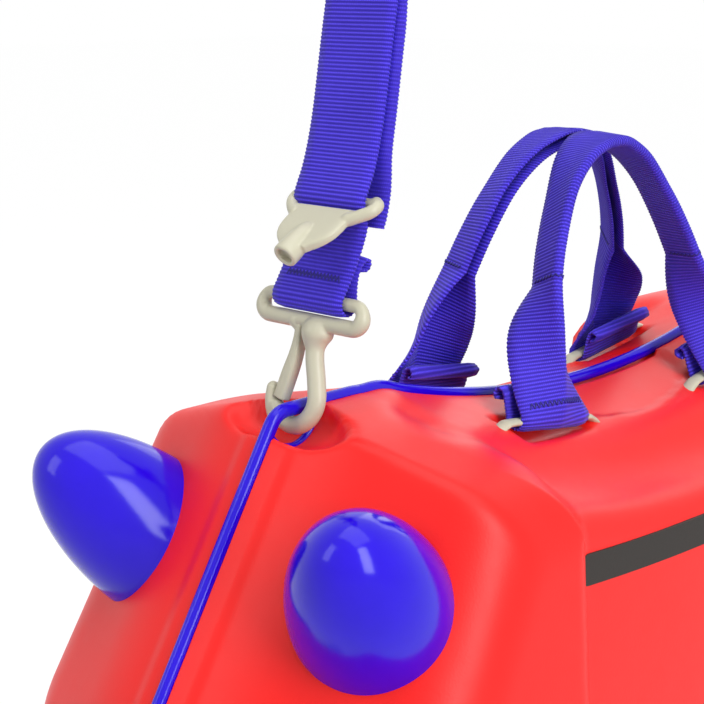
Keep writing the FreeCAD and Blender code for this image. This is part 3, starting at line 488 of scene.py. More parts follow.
outer_rows = [0, 0.7, 1.4, 2.0, 2.35, 2.5, 2.62, 2.9, 3.4, 4.1, *range(5, 14), 14.5, *range(16, 37, 2)]
inner_rows = [0, 3, *range(6, 12), 13, 16, 20, 25, 30, 36]
outer_skin = skin(outside, outer_rows, 76)
inner_skin = skin(inside, inner_rows, 28)
print("outer skin", outer_skin.shape, "inner skin", inner_skin.shape)

# %% [markdown]
# ## Red plastic
# The shells are blow-moulded polyethylene: satin, with a fine orange-peel grain from the mould and
# faint scuffs that dull it here and there. A scanned texture would need a picture and a map. Noise at
# three sizes gives tint, roughness and grain without either, and fits any shape.

# %% Red shells
red = Finish("red_plastic")
patches = red.noise(14.0, 3.0)
scuffs = red.noise(130.0, 6.0, 0.7)
grain = red.noise(1500.0, 2.0)
red_plastic = red.surface(
    Base_Color=red.mix(patches, rgb(238, 26, 24), rgb(246, 34, 30)),
    Roughness=patches * 0.10 + scuffs * 0.12 + 0.27,
    Normal=red.bump(grain, 0.00012, 0.35), Specular_IOR_Level=0.28)


def shell(name, side, replaced, body):
    """Outer skin, a strip round the mouth and the inner skin turned round; side -1 mirrors it in the seam."""
    rows, columns = outer_skin.shape[:2]
    deep = inner_skin.shape[0]
    points = np.concatenate([outer_skin.reshape(-1, 3), inner_skin.reshape(-1, 3)]) * (1.0, side, 1.0)
    here = np.arange(columns)
    after = (here + 1) % columns
    inner_first = rows * columns
    strip = np.stack([here, inner_first + here, inner_first + after, after], axis=-1)
    faces = np.concatenate([grid_faces(rows, columns, wrap_columns=True), strip,
                            grid_faces(deep, columns, wrap_columns=True, first=inner_first)[:, ::-1]])
    return make_piece(name, points, faces[:, ::side], red_plastic, body, [replaced], "shell_red",
                      merge=0.004, sharp=50.0)


shell("shell_skin_left", 1, "shell_left", "left_half")
shell("shell_skin_right", -1, "shell_right", "right_half")

# %% [markdown]
# ## Seal and tow loops
# A glossy blue bead fills the groove between the shells, and bridges the dish in each head as a tow
# loop. A bevelled curve drawn by hand would drift off the groove. The seam is where the case's own
# field is zero in the plane y = 0, so rays find it, and a circle is carried along it.


# %% Circles carried along a path
def travel(path):
    """Distance along a polyline from its start to each of its points."""
    return np.concatenate([[0.0], np.cumsum(np.linalg.norm(np.diff(path, axis=0), axis=1))])


def resample(path, spacing):
    """Points along a polyline at even distances close to spacing."""
    path = np.asarray(path, dtype=float)
    length = travel(path)
    at = np.linspace(0.0, length[-1], max(int(round(length[-1] / spacing)), 2) + 1)
    return np.stack([np.interp(at, length, column) for column in path.T], axis=1)


def smooth_path(corners, spacing):
    """Catmull-Rom curve through the corners: each span is a cubic set by its four nearest corners."""
    p = np.asarray(corners, dtype=float)
    p = np.concatenate([2 * p[:1] - p[1:2], p, 2 * p[-1:] - p[-2:-1]])
    t = np.linspace(0.0, 1.0, 24, endpoint=False)[None, :, None]
    a, b, c, d = (p[i:len(p) - 3 + i, None, :] for i in range(4))
    curve = 0.5 * (2 * b + (c - a) * t + (2 * a - 5 * b + 4 * c - d) * t ** 2 + (3 * b - a - 3 * c + d) * t ** 3)
    return resample(np.concatenate([curve.reshape(-1, p.shape[1]), p[-2:-1]]), spacing)


def rings(path, run, radius, sides, steady, flat=1.0):
    """A circle round each point of a path, square to its run; flat scales it along the steady direction."""
    steady = np.asarray(steady)
    level = unit(steady - run * (run @ steady)[:, None])
    cos, sin = np.cos(turns(sides)) * flat, np.sin(turns(sides))
    circle = level[:, None] * cos[None, :, None] + np.cross(run, level)[:, None] * sin[None, :, None]
    return (path[:, None] + circle * radius[:, None, None]).reshape(-1, 3)


def tube(path, radius, sides=20, steady=(0.0, 1.0, 0.0), flat=1.0):
    """Points and faces of a tube: a circle at each point of the path, closed by half balls at both ends."""
    path = np.asarray(path, dtype=float)
    radius = np.broadcast_to(np.asarray(radius, dtype=float), len(path))
    run = unit(np.gradient(path, axis=0))
    bend = np.linspace(0.0, math.pi / 2, 6)[:-1]
    head = path[0] - run[0] * radius[0] * np.cos(bend)[:, None]
    tail = path[-1] + run[-1] * radius[-1] * np.cos(bend[::-1])[:, None]
    rim = np.concatenate([radius[0] * np.sin(bend), radius, radius[-1] * np.sin(bend[::-1])])
    path = np.concatenate([head, path, tail])
    run = np.concatenate([np.repeat(run[:1], 5, axis=0), run, np.repeat(run[-1:], 5, axis=0)])
    return rings(path, run, rim, sides, steady, flat), grid_faces(len(path), sides, wrap_columns=True)


def merge_parts(*parts):
    """Several (points, faces) pairs as one pair."""
    counts = np.cumsum([0] + [len(points) for points, _ in parts])
    return (np.concatenate([points for points, _ in parts]),
            np.concatenate([faces + count for (_, faces), count in zip(parts, counts)]))


# %% Blue bead along the seam
blue = Finish("blue_gloss")
ripple = blue.noise(70.0, 2.0)
dust = blue.noise(420.0, 5.0, 0.65)
blue_gloss = blue.surface(
    Base_Color=blue.mix(ripple, rgb(30, 0, 196), rgb(38, 1, 214)),
    Roughness=dust * 0.12 + 0.09,
    Normal=blue.bump(ripple, 0.0004, 0.12), Specular_IOR_Level=0.30)


def sunk_seam(x, y, z):
    """The case's field without its dish, zero on the line that the middle of the bead follows."""
    return case_field(x, y, z, scoop=False) + bead_sink


seam_turns = np.radians(np.linspace(-62.0, 114.0, 900))
seam_heading = np.stack([np.cos(seam_turns), 0 * seam_turns, np.sin(seam_turns)], axis=-1)
seam_start = np.broadcast_to([spine_half, 0.0, spine_height], seam_heading.shape)
half_seam = seam_start + seam_heading * cast(sunk_seam, seam_start, seam_heading, halvings=20)[:, None]
half_seam = half_seam[half_seam[:, 2] > bead_end]
seat_radius = seat_axis - seat_middle + bead_sink
seat_turn = np.linspace(0.0, math.asin(half_seam[-1, 0] / seat_radius), 60)[1:-1][::-1]
seat_line = np.stack([seat_radius * np.sin(seat_turn), 0 * seat_turn,
                      seat_axis - seat_radius * np.cos(seat_turn)], axis=-1)
half_seam = np.concatenate([half_seam, seat_line])
seam = resample(np.concatenate([half_seam, half_seam[::-1] * (-1.0, 1.0, 1.0)]), 1.6)
loop_near, loop_far, loop_low = 127.2, 173.9, 280.0
from_middle = np.abs(seam[:, 0])
in_loop = (from_middle > loop_near) & (from_middle < loop_far) & (seam[:, 2] > loop_low)
cuts = np.flatnonzero(np.diff(in_loop.astype(int)))
runs = [np.arange(run[0], min(run[-1] + 2, len(seam))) for run in np.split(np.arange(len(seam)), cuts + 1)]
dish_turn = np.radians(np.linspace(-178.0, -25.0, 40))
strand = np.stack([tow_reach + tow_dish[0] * np.cos(dish_turn), 0 * dish_turn,
                   tow_height + (tow_dish[2] + 0.4) * np.sin(dish_turn)], axis=-1)
bead = [tube(seam[run], bead_radius, 24) for run in runs]
strands = [tube(strand * (end, 1.0, 1.0), 1.5, 14) for end in (1, -1)]
for name, parts, node in (("seam_bead", [*bead[::2], *strands], "seal_trim"),
                          ("tow_loop_bead_front", bead[1:2], "tow_loop_front"),
                          ("tow_loop_bead_rear", bead[3:4], "tow_loop_rear")):
    make_piece(name, *merge_parts(*parts), blue_gloss, "left_half", [node], "seal_blue", merge=0.001)

# %% [markdown]
# ## Horns
# Two hollow blue eggs are screwed to the corners of the front head. A scaled sphere pushed into the case
# would leave half of itself inside, where the luggage goes. Here an egg is an ellipse turned about its
# axis, each meridian stops where it dips into the case, and a lid just under the skin closes it.

# %% Horns
horn_half_length, horn_half_width, horn_sink, horn_sides = 55.0, 26.0, 1.5, 96
horn_middle = np.array([169.6, 48.0, 250.7])
horn_axis = unit(np.array([0.634, 0.373, 0.677]))


def horn(name, side, body):
    """Egg: axis * a cos t + ring * b sin t, t from the tip to the depth horn_sink under the case's skin."""
    across = unit(np.cross(horn_axis, (0.0, 0.0, 1.0)))
    along = np.cross(horn_axis, across)
    turn = turns(horn_sides)
    ring = across * np.cos(turn)[:, None] + along * np.sin(turn)[:, None]

    def egg(t):
        return (horn_middle + horn_axis * horn_half_length * np.cos(t)[..., None]
                + ring * horn_half_width * np.sin(t)[..., None])

    def under(spots):
        return case_field(spots[..., 0], spots[..., 1], spots[..., 2]) < -horn_sink

    steps = np.linspace(0.2, math.pi, 200)
    first = np.argmax(under(egg(steps[:, None] * np.ones(horn_sides))), axis=0)
    low, high = steps[first - 1], steps[first]
    for _ in range(14):
        half = (low + high) / 2
        deep = under(egg(half))
        low, high = np.where(deep, low, half), np.where(deep, half, high)
    skin_rows = egg(np.linspace(0.0, 1.0, 64)[:, None] ** 0.8 * low)
    rim = skin_rows[-1]
    lid = rim.mean(axis=0) + (rim - rim.mean(axis=0)) * np.linspace(0.9, 0.0, 10)[:, None, None]
    shift = np.linspace(-30.0, 30.0, 241)
    levels = lid + horn_axis * shift[:, None, None, None]
    lid = lid + horn_axis * shift[np.argmax(~under(levels), axis=0)][..., None]
    points = np.concatenate([skin_rows, lid]).reshape(-1, 3) * (1.0, side, 1.0)
    faces = grid_faces(len(skin_rows) + len(lid), horn_sides, wrap_columns=True)[:, ::-side]
    return make_piece(name, points, faces, blue_gloss, body, [name.replace("_egg", "")], "horn_blue",
                      merge=0.01, sharp=40.0)


horn("horn_egg_left", 1, "left_half")
horn("horn_egg_right", -1, "right_half")

# %% [markdown]
# ## Webbing
# Handles and tow strap are woven polyester webbing with ribs across it, 1.3 mm apart. A drawn pattern
# would leave smooth edges, so the ribs are real: the strip's section grows and shrinks along the strip.
# The finish adds the yarns, which run over and under in a brick pattern, from the strip's own UV map, and paints
# shade into the colour: dark in the grooves between ribs and yarns, pale on their tops.

# %% Woven finish
rib_pitch = 1.3


def woven(name, dark, pale):
    """u is millimetres along the strip, v millimetres across; ribs repeat along u, yarns along v. The colour is
    painted shade, dark in the grooves between ribs and yarns and pale on their tops, with random patches of tone.
    """
    cloth = Finish(name)
    u, v, _ = cloth.parts(cloth.coords("UV"))
    rib = cloth.wave(u * (2 * math.pi / rib_pitch))
    offset = cloth.wave(u * (math.pi / rib_pitch)).math("GREATER_THAN", 0.5) * 0.5
    yarn = cloth.wave((v / 0.75 + offset) * (2 * math.pi))
    weave_relief_and_shade = (rib ** 1.5) * (yarn * 0.5 + 0.5)
    patch = cloth.noise(45.0, 3.0)
    fuzz = cloth.noise(2600.0, 2.0)
    # painted shade: the weave's grooves take the dark colour and its tops the pale one; the two noises add random
    # tone
    painted_shade_and_tone = (weave_relief_and_shade * 0.75 + patch * 0.25 + fuzz * 0.2).math("MINIMUM", 1.0)
    return cloth.surface(
        Base_Color=cloth.mix(painted_shade_and_tone, dark, pale),
        Roughness=0.78 - weave_relief_and_shade * 0.22,
        Normal=cloth.bump(weave_relief_and_shade * 0.8 + fuzz * 0.4, 0.00025, 0.8),
        Sheen_Weight=0.12, Sheen_Roughness=0.4, Specular_IOR_Level=0.3)


# dark and pale are the shaded and the lit colour of the same webbing
webbing_blue = woven("webbing_blue", rgb(27, 4, 132), rgb(88, 68, 248))
webbing_black = woven("webbing_black", rgb(14, 14, 16), rgb(46, 46, 50))
print("woven finishes:", webbing_blue.name, webbing_black.name)


# %% Strip section
def strip(path, across, inward, fold, width, thickness, columns):
    """Closed strip of webbing. Each row is a line across the strip that turns, near its middle, from one
    flap to the other: heading = across * cos a + inward * sin a, with a running from -fold to +fold. The
    line is summed up from that heading, then given thickness on both sides. Returns points, faces, uv."""
    rows = len(path)
    half = width / 2
    d = np.sinh(np.linspace(-2.6, 2.6, columns)) / math.sinh(2.6) * half
    angle = fold[:, None] * np.tanh(d / 1.1)
    mid = (angle[:, 1:] + angle[:, :-1]) / 2
    step = np.diff(d)
    a = np.concatenate([np.zeros((rows, 1)), np.cumsum(np.cos(mid) * step, axis=1)], axis=1)
    b = np.concatenate([np.zeros((rows, 1)), np.cumsum(np.sin(mid) * step, axis=1)], axis=1)
    a = a - (a[:, :1] + a[:, -1:]) / 2
    b = b - (b.max(axis=1, keepdims=True) + b.min(axis=1, keepdims=True)) / 2
    u = travel(path)
    rib = 0.5 + 0.5 * np.cos(2 * math.pi * u / rib_pitch)
    across, inward = across[:, None], inward[:, None]
    cos, sin = np.cos(angle)[..., None], np.sin(angle)[..., None]
    line = path[:, None] + across * a[..., None] + inward * b[..., None]
    out = across * sin - inward * cos
    edge = (np.abs(d) / half) ** 30
    lift = (thickness / 2 * (0.80 + 0.20 * rib))[:, None] * (1 - 0.55 * edge)[None, :]
    push = (np.sign(d) * edge * 0.30)[None, :] * (rib - 0.5)[:, None]
    line = line + (across * cos + inward * sin) * push[..., None]
    faces_out = line + out * lift[..., None]
    faces_in = (line - out * lift[..., None])[:, ::-1]
    points = np.concatenate([faces_out, faces_in], axis=1)
    uv = np.stack(np.broadcast_arrays(u[:, None], np.concatenate([d, d[::-1]])[None, :]), axis=-1)
    count = 2 * columns
    faces = grid_faces(rows, count, wrap_columns=True)
    i = np.arange(columns - 1)
    start = np.stack([i, count - 1 - i, count - 2 - i, i + 1], axis=-1)
    end = start[:, ::-1] + (rows - 1) * count
    return points.reshape(-1, 3), np.concatenate([faces, start, end]), uv.reshape(-1, 2)


print("webbing ready")

# %% [markdown]
# ## Handles
# Each handle is one strip: sewn back on itself round a bar, folded double for the grip, and the same
# at the other bar. A cloth simulation would fold it differently each time a value changes. So the path
# is drawn through points, and the fold opens towards the bars because its bend angle falls evenly to
# zero there. Each leg of the grip is also turned a little, as it is after use.

# %% Handle path and fold
handle_corners = [
    (57.9, 21.5, 295.6), (57.8, 20.0, 295.9), (57.7, 19.3, 297.4), (57.6, 20.5, 299.0), (57.7, 22.3, 298.7),
    (57.9, 23.6, 296.2), (58.3, 24.8, 291.8), (58.8, 26.2, 287.9), (59.0, 29.5, 286.2), (58.8, 32.8, 287.9),
    (58.5, 33.2, 292.0), (57.8, 30.6, 299.0), (56.8, 27.6, 306.5), (55.0, 24.6, 316.0), (50.4, 21.2, 330.0),
    (43.6, 17.8, 346.0), (34.2, 15.0, 361.0), (22.0, 12.8, 373.0), (9.5, 11.3, 379.0), (0.0, 11.0, 380.4)]
handle_width, handle_thickness = 38.6, 2.0
grip_fold, fold_from, fold_to = math.radians(87.0), 1.0, 54.0
bar_drop = 1.6
path_step = 0.26
bar_tilt = math.radians(8.0)
bar_axis = np.array([math.cos(bar_tilt), 0.0, math.sin(bar_tilt)])


def handle_half(twist):
    """Half of the strip, from its sewn end to the crest: path, outward and sideways directions, fold angle
    and distance above the bar. The folded grip is turned about its own run by twist degrees."""
    half = smooth_path(handle_corners, path_step)
    half[:, 2] -= bar_drop * (1 - ease(half[:, 2], 297.0, 318.0))
    run = unit(np.gradient(half, axis=0))
    along = travel(half)
    rise = along - along[np.argmin(half[:, 2])]
    loop_out = np.cross(-bar_axis, run)
    leg_out = np.array([0.0, 1.0, 0.0]) - run * run[:, 1:2]
    share = ease(rise, 8.0, 24.0)[:, None]
    out = unit(unit(loop_out) * (1 - share) + unit(leg_out) * share)
    turn = np.radians(twist) * ease(rise, 20.0, 56.0) * (1 - ease(rise, 84.0, rise[-1]))
    across = np.cross(run, out)
    out = unit(out * np.cos(turn)[:, None] - across * np.sin(turn)[:, None])
    fold = grip_fold * np.clip((rise - fold_from) / (fold_to - fold_from), 0.0, 1.0)
    return half, out, np.cross(run, out), fold, rise


def handle_strip(drift, front, rear):
    """The front half and the mirror image of the rear half, twisted by their own angles. The rear leg
    stands forward by drift millimetres, fading out towards the crest and the bar."""
    flip = np.array([-1.0, 1.0, 1.0])
    path, out, across, fold, rise = (np.concatenate([a, b[-2::-1] * sign]) for a, b, sign in zip(
        handle_half(front), handle_half(rear), (flip, flip, flip, 1.0, 1.0)))
    share = np.linspace(0.0, 1.0, len(path))
    path[:, 0] += drift * ease(share, 0.30, 0.66) * (1 - ease(share, 0.74, 0.92))
    return strip(path, across, -out, fold, handle_width, handle_thickness, columns=24), rise


handle_grids = {}
for side, word, drift, front, rear in ((1, "left", 10.0, 34.0, -20.0), (-1, "right", 0.0, -22.0, 40.0)):
    (points, faces, uv), handle_rise = handle_strip(drift, front, rear)
    points = points * (1.0, side, 1.0)
    make_piece("handle_webbing_" + word, points, faces[:, ::side], webbing_blue, "handle_" + word,
               ["handle_" + word], "webbing_blue", uv=uv)
    handle_grids[word] = points.reshape(len(handle_rise), -1, 3)
handle_side = np.where(np.arange(len(handle_rise)) < len(handle_rise) / 2, 1.0, -1.0)

# %% [markdown]
# ## Tow strap
# One strip again: sewn round the lower eye, over the key's bar, round the upper eye, and a long tail
# back down behind. Leaning loops are hard to draw in place, so it is laid out upright in a side view,
# with the hooks and the key, and the whole tow set is then leaned back.

# %% Tow strap
tow_lean = math.radians(13.7)
tow_axes = np.array([[math.cos(tow_lean), 0.0, math.sin(tow_lean)], [0.0, 1.0, 0.0],
                     [-math.sin(tow_lean), 0.0, math.cos(tow_lean)]])
tow_root = np.array([154.5, 0.0, 305.6])
strap_width, strap_thickness, strap_bow = 30.6, 1.9, 3.4
strap_corners = [
    (-3.0, 45.7), (-4.6, 45.9), (-5.4, 47.4), (-4.6, 49.1), (-2.9, 49.0), (-1.7, 47.0), (-1.3, 43.8), (-2.4, 38.5),
    (-3.4, 34.6), (-2.4, 31.9), (0.0, 30.8), (2.4, 31.9), (3.4, 34.6), (2.3, 38.5), (1.2, 44.0), (0.9, 52.0),
    (1.2, 59.0), (2.6, 62.6), (4.15, 66.3), (3.7, 70.2), (2.5, 76.0), (1.5, 86.0), (1.0, 100.0), (1.0, 140.0),
    (2.3, 146.2), (3.4, 150.0), (2.4, 152.7), (0.0, 153.8), (-2.4, 152.7), (-3.4, 150.0), (-2.4, 146.0),
    (-1.2, 138.0), (-1.1, 100.0), (-1.2, 84.0), (-2.6, 75.5), (-3.4, 70.5), (-3.5, 64.0), (-3.0, 59.5)]


def leaned(points):
    """Upright tow-set coordinates to their place on the case."""
    return tow_root + np.asarray(points, dtype=float) @ tow_axes


flat_path = smooth_path(strap_corners, path_step)
strap_x, strap_z = flat_path.T
strap_u = travel(flat_path)
sideways = 3.0 * ease(strap_u, strap_u[-1] - 92.0, strap_u[-1] - 60.0)
sideways = sideways + strap_bow * ease(strap_z, 36.0, 62.0) * (1 - ease(strap_z, 72.0, 140.0))
strap_path = np.stack([strap_x, sideways, strap_z], axis=-1)
strap_run = unit(np.gradient(strap_path, axis=0))
strap_across = np.broadcast_to([0.0, 1.0, 0.0], strap_run.shape)
strap_out = np.cross(strap_across, strap_run)
points, faces, uv = strip(strap_path, strap_across, -strap_out, np.zeros(len(strap_path)), strap_width,
                          strap_thickness, columns=20)
make_piece("tow_strap_webbing", leaned(points), faces, webbing_blue, "tow_strap", ["tow_strap"],
           "webbing_blue", uv=uv)
strap_grid = leaned(points).reshape(len(strap_path), -1, 3)
strap_mark = strap_u[np.argmin(strap_z)]

# %% [markdown]
# ## Stitching
# A zigzag row sews each strip back on itself. A drawn line would vanish from the side, so the thread is
# a thin tube. It runs through points that step across the strip and swing a millimetre up and down,
# laid just proud of the ribs.


# %% Zigzag thread
thread = Finish("thread_blue")
ply = thread.noise(3000.0, 2.0)
thread_blue = thread.surface(Base_Color=thread.mix(ply, rgb(14, 4, 84), rgb(40, 26, 150)),
                             Roughness=ply * 0.2 + 0.55)
thread_radius, sewn_rise, grip_rise = 0.30, 11.5, 55.0


def stitch_strip(name, grid, row, body, count, swing=1.0):
    """Zigzag along one row of a strip's grid, on its outer face: points at even distances across the strip
    are moved to both sides of the row by turns, and a tube follows them."""
    half = grid.shape[1] // 2
    outer, inner = grid[row, :half][1:-1], grid[row, half:][::-1][1:-1]
    length = np.linalg.norm(np.diff(outer, axis=0), axis=1).sum()
    both_lines = resample(np.concatenate([outer, unit(outer - inner)], axis=1), length / (2 * count))
    line, out = both_lines[:, :3], unit(both_lines[:, 3:])
    run = unit(np.cross(unit(np.gradient(line, axis=0)), out))
    high = np.where(np.arange(len(line)) % 2 == 0, swing, -swing)[:, None]
    path = resample(line + run * high + out * 0.1, 0.3)
    points, faces = tube(path, thread_radius, 6, steady=tuple(unit(out.mean(axis=0))))
    return make_piece(name, points, faces, thread_blue, body, slot="webbing_blue", merge=0.001)


for word, grid in handle_grids.items():
    for end, side, rise_at, count, swing in (
            ("front", 1, sewn_rise, 16, 1.0), ("rear", -1, sewn_rise, 16, 1.0),
            ("front_grip", 1, grip_rise, 14, 0.5), ("rear_grip", -1, grip_rise, 14, 0.5)):
        row = np.argmin(np.abs(handle_rise - rise_at) + 1e3 * (handle_side != side))
        stitch_strip("handle_stitch_%s_%s" % (end, word), grid, row, "handle_" + word, count, swing)
for name, at in (("strap_stitch_low", 13.0), ("strap_stitch_high", 110.0)):
    stitch_strip(name, strap_grid, np.argmin(np.abs(strap_u - strap_mark - at)), "tow_strap", 15)

# %% [markdown]
# ## Hooks and key
# The snap hooks and the key are moulded nylon: thick rods that flow into each other. Box modelling with
# subdivision could make them, with much care where rods meet. Here tubes and plates that overlap are
# laid together, a voxel remesh fuses them, and smoothing rounds the joints, as a mould does.


# %% Fused pieces
forward = (1.0, 0.0, 0.0)


def rounded_loop(path, radius, sides=18):
    """Closed tube: a circle carried round a closed path."""
    run = unit(np.roll(path, -1, axis=0) - np.roll(path, 1, axis=0))
    return rings(path, run, radius, sides, forward), grid_faces(len(path), sides, wrap_rows=True, wrap_columns=True)


def squared(angle, power):
    """Cosine and sine raised to a power that keeps their sign, which squares a circle's corners."""
    cos, sin = np.cos(angle), np.sin(angle)
    return np.sign(cos) * np.abs(cos) ** power, np.sign(sin) * np.abs(sin) ** power


def capped(sections):
    """Points and faces through a stack of closed sections, with the middle of each end as a lid."""
    cap = sections[[0, -1]].mean(axis=1, keepdims=True) + 0 * sections[[0, -1]]
    sections = np.concatenate([cap[:1], sections, cap[1:]])
    return sections.reshape(-1, 3), grid_faces(*sections.shape[:2], wrap_columns=True)


def lathe(profile, centre, axis, sides=40):
    """Surface of revolution: radius and height pairs turned about an axis through the centre. The outside
    is on the right of the profile's direction of travel, seen with the axis pointing up."""
    profile = np.asarray(profile, dtype=float)
    axis = unit(np.asarray(axis, dtype=float))
    first = unit(np.cross(axis, (0.31, 0.87, 0.38)))
    second = np.cross(axis, first)
    ring = first * np.cos(turns(sides))[:, None] + second * np.sin(turns(sides))[:, None]
    points = np.asarray(centre) + profile[:, 1, None, None] * axis + profile[:, 0, None, None] * ring[None]
    return points.reshape(-1, 3), grid_faces(len(profile), sides, wrap_columns=True)


def fused(name, parts, material, body, replaced, slot, voxel=0.4, passes=6):
    """One skin round overlapping closed parts: voxels of the given size in mm, then smoothing passes."""
    piece = make_piece(name, *merge_parts(*parts), material, body, replaced, slot, merge=0.001)
    remesh = piece.modifiers.new("fuse", "REMESH")
    remesh.mode = "VOXEL"
    remesh.voxel_size = voxel * MM
    remesh.use_smooth_shade = True
    relax = piece.modifiers.new("relax", "SMOOTH")
    relax.factor = 0.5
    relax.iterations = passes
    seen = piece.evaluated_get(bpy.context.evaluated_depsgraph_get())
    mesh = bpy.data.meshes.new_from_object(seen)
    piece.modifiers.clear()
    piece.data = mesh
    mesh.polygons.foreach_set("use_smooth", np.ones(len(mesh.polygons), dtype=bool))
    print(name, "fused to", len(mesh.polygons), "faces")
    return piece


# %% [markdown]
# ## Snap hooks
# A hook has a flat eye for the strap, a shank that bends round into a ring, and a springy tongue that
# shuts the ring. The parts are drawn in the plane of the hook, and both hooks share them.

# %% Snap hooks
nylon = Finish("grey_nylon")
cloud = nylon.noise(35.0, 3.0)
pits = nylon.noise(700.0, 3.0)
grey_nylon = nylon.surface(
    Base_Color=nylon.mix(cloud, rgb(182, 178, 154), rgb(200, 197, 175)),
    Roughness=pits * 0.14 + 0.30,
    Normal=nylon.bump(pits, 0.0001, 0.3))


hook_span = 184.6


def upright(y, z):
    """Points in the plane of the hooks, y to the left and z up."""
    return np.stack([0 * y, y, z], axis=-1)


def hook_parts():
    """Eye, shank that flares out of the eye, ring that thins to a blunt nib, and a brace under the eye."""
    turn = np.linspace(0.0, math.pi, 24)
    low, high, reach = 27.0, 34.3, 18.4
    middle, half = (low + high) / 2, (high - low) / 2
    eye = np.concatenate([upright(reach + half * np.sin(turn), middle - half * np.cos(turn)),
                          upright(-reach - half * np.sin(turn), middle + half * np.cos(turn))])
    eye = resample(np.concatenate([eye, eye[:1]]), 0.8)[:-1]
    wire = 2.15 + 0.55 * ease(-eye[:, 2], -33.5, -29.0)
    ring_turn = np.radians(np.linspace(14.0, -150.0, 34))
    ring = [(9.1 * math.cos(a) - 0.8, 2.3 + 9.1 * math.sin(a)) for a in ring_turn]
    shank = upright(*smooth_path([(3.9, 24.0), (3.8, 20.6), (4.6, 15.5), (6.6, 9.4)] + ring, 0.6).T)
    depth = np.linspace(0.0, 1.0, len(shank))
    thick = 3.15 + 2.4 * (1 - ease(depth, 0.0, 0.14)) - 0.25 * ease(depth, 0.6, 0.9)
    nib = upright(*smooth_path([(-9.0, -4.8), (-10.6, -2.2), (-11.4, 0.6), (-11.6, 3.6)], 0.5).T)
    brace = upright(np.linspace(-5.6, -4.0, 8), np.linspace(26.6, 24.4, 8))
    return [rounded_loop(eye, wire), tube(shank, thick, 24, forward, flat=0.92),
            tube(nib, np.linspace(2.6, 2.2, len(nib)), 20, forward),
            tube(brace, np.linspace(3.0, 2.0, 8), 16, forward)]


def gate_parts():
    """Springy tongue: a flat bar that widens towards its square end."""
    path = smooth_path([(-3.3, 25.6), (-3.2, 21.0), (-3.9, 15.0), (-5.4, 8.6), (-7.2, 0.8)], 0.5)
    t = np.linspace(0.0, 1.0, len(path))
    run = unit(np.gradient(path, axis=0))
    cos, sin = squared(turns(24), 0.5)
    wide = (1.5 + 0.95 * ease(t, 0.1, 0.7))[:, None] * cos
    deep = 2.3 * sin + 0 * wide
    return [capped(np.stack([deep, path[:, :1] + wide * -run[:, 1:], path[:, 1:] + wide * run[:, :1]], axis=-1))]


def turned_over(points):
    """The upper hook is the lower one turned over about the x axis, at the strap's other end."""
    return np.asarray(points) * (1.0, -1.0, -1.0) + (0.0, 0.0, hook_span)


for word, place in (("tow_hook", lambda p: p), ("upper_hook", turned_over)):
    fused(word + "_nylon", [(leaned(place(p)), f) for p, f in hook_parts()], grey_nylon, word, [word],
          "hardware_grey")
    fused(word + "_tongue", [(leaned(place(p)), f) for p, f in gate_parts()], grey_nylon, word + "_gate",
          [word + "_gate"], "hardware_grey", voxel=0.35, passes=3)

# %% [markdown]
# ## Key
# The key hangs on the strap by a crossbar: a plate like a bell, arms that curl up to the bar, and a
# round socket at its end that turns the catches' locks. Its face is left smooth.

# %% Key on the strap
key_lean = math.radians(43.0)
key_run = np.array([math.sin(key_lean), 0.0, -math.cos(key_lean)])
key_face = np.array([math.cos(key_lean), 0.0, math.sin(key_lean)])
key_root = np.array([0.95, strap_bow, 66.3])


def key_place(y, s, out=0.0):
    """Point on the key: y sideways, s down the plate from the bar, out towards its front face."""
    y, s, out = np.broadcast_arrays(np.asarray(y, dtype=float), s, out)
    return key_root + y[..., None] * (0.0, 1.0, 0.0) + s[..., None] * key_run + out[..., None] * key_face


def bell_plate():
    """Rounded rectangles of half width w(s) and half thickness 1.7 along the plate, closed at both ends."""
    s = np.linspace(4.9, 23.6, 60)
    wide = np.interp(s, [4.9, 6.0, 7.5, 9.5, 12.5, 16.0, 19.0, 21.5, 23.6],
                     [16.5, 14.6, 13.1, 12.4, 12.5, 12.0, 10.4, 8.0, 5.0])
    wide = np.convolve(np.pad(wide, 4, mode="edge"), np.ones(9) / 9, mode="valid")
    cos, sin = squared(turns(40), 0.35)
    return capped(key_place(wide[:, None] * cos, s[:, None], 1.7 * sin))


def key_arm(corners, radius):
    """A rod through corners given as sideways and downwards distances on the key."""
    arm = smooth_path(corners, 0.5)
    return tube(key_place(arm[:, 0], arm[:, 1]), radius, 20, steady=tuple(key_face))


socket = lathe([(0.0, 13.0), (2.4, 13.4), (3.3, 16.0), (3.9, 20.0), (4.2, 24.0), (4.2, 27.4), (3.8, 27.9),
                (2.9, 27.9), (2.6, 27.6), (2.6, 25.4), (0.0, 25.2)], leaned(key_root), key_run @ tow_axes)
key_bits = [bell_plate(),
            key_arm([(-11.5, 8.2), (-14.6, 5.6), (-16.8, 3.0), (-17.3, 0.3), (-16.6, -0.4)], 2.1),
            key_arm([(11.5, 8.2), (15.0, 5.6), (17.6, 3.2), (18.1, 0.4), (16.8, -0.8)], 2.1),
            key_arm([(-17.0, 0.0), (0.0, 0.0), (17.0, 0.0)], 1.9)]
fused("key_nylon", [(leaned(points), faces) for points, faces in key_bits] + [socket], grey_nylon, "strap_key",
      ["strap_key"], "hardware_grey", voxel=0.35, passes=5)

# %% [markdown]
# ## Bars for the handles
# Each handle end is sewn round a nylon bar whose feet go down through the seat. A bent cylinder would
# pinch at its corners. A flattened tube follows a smooth line along the bar, down both feet and into
# the shell.

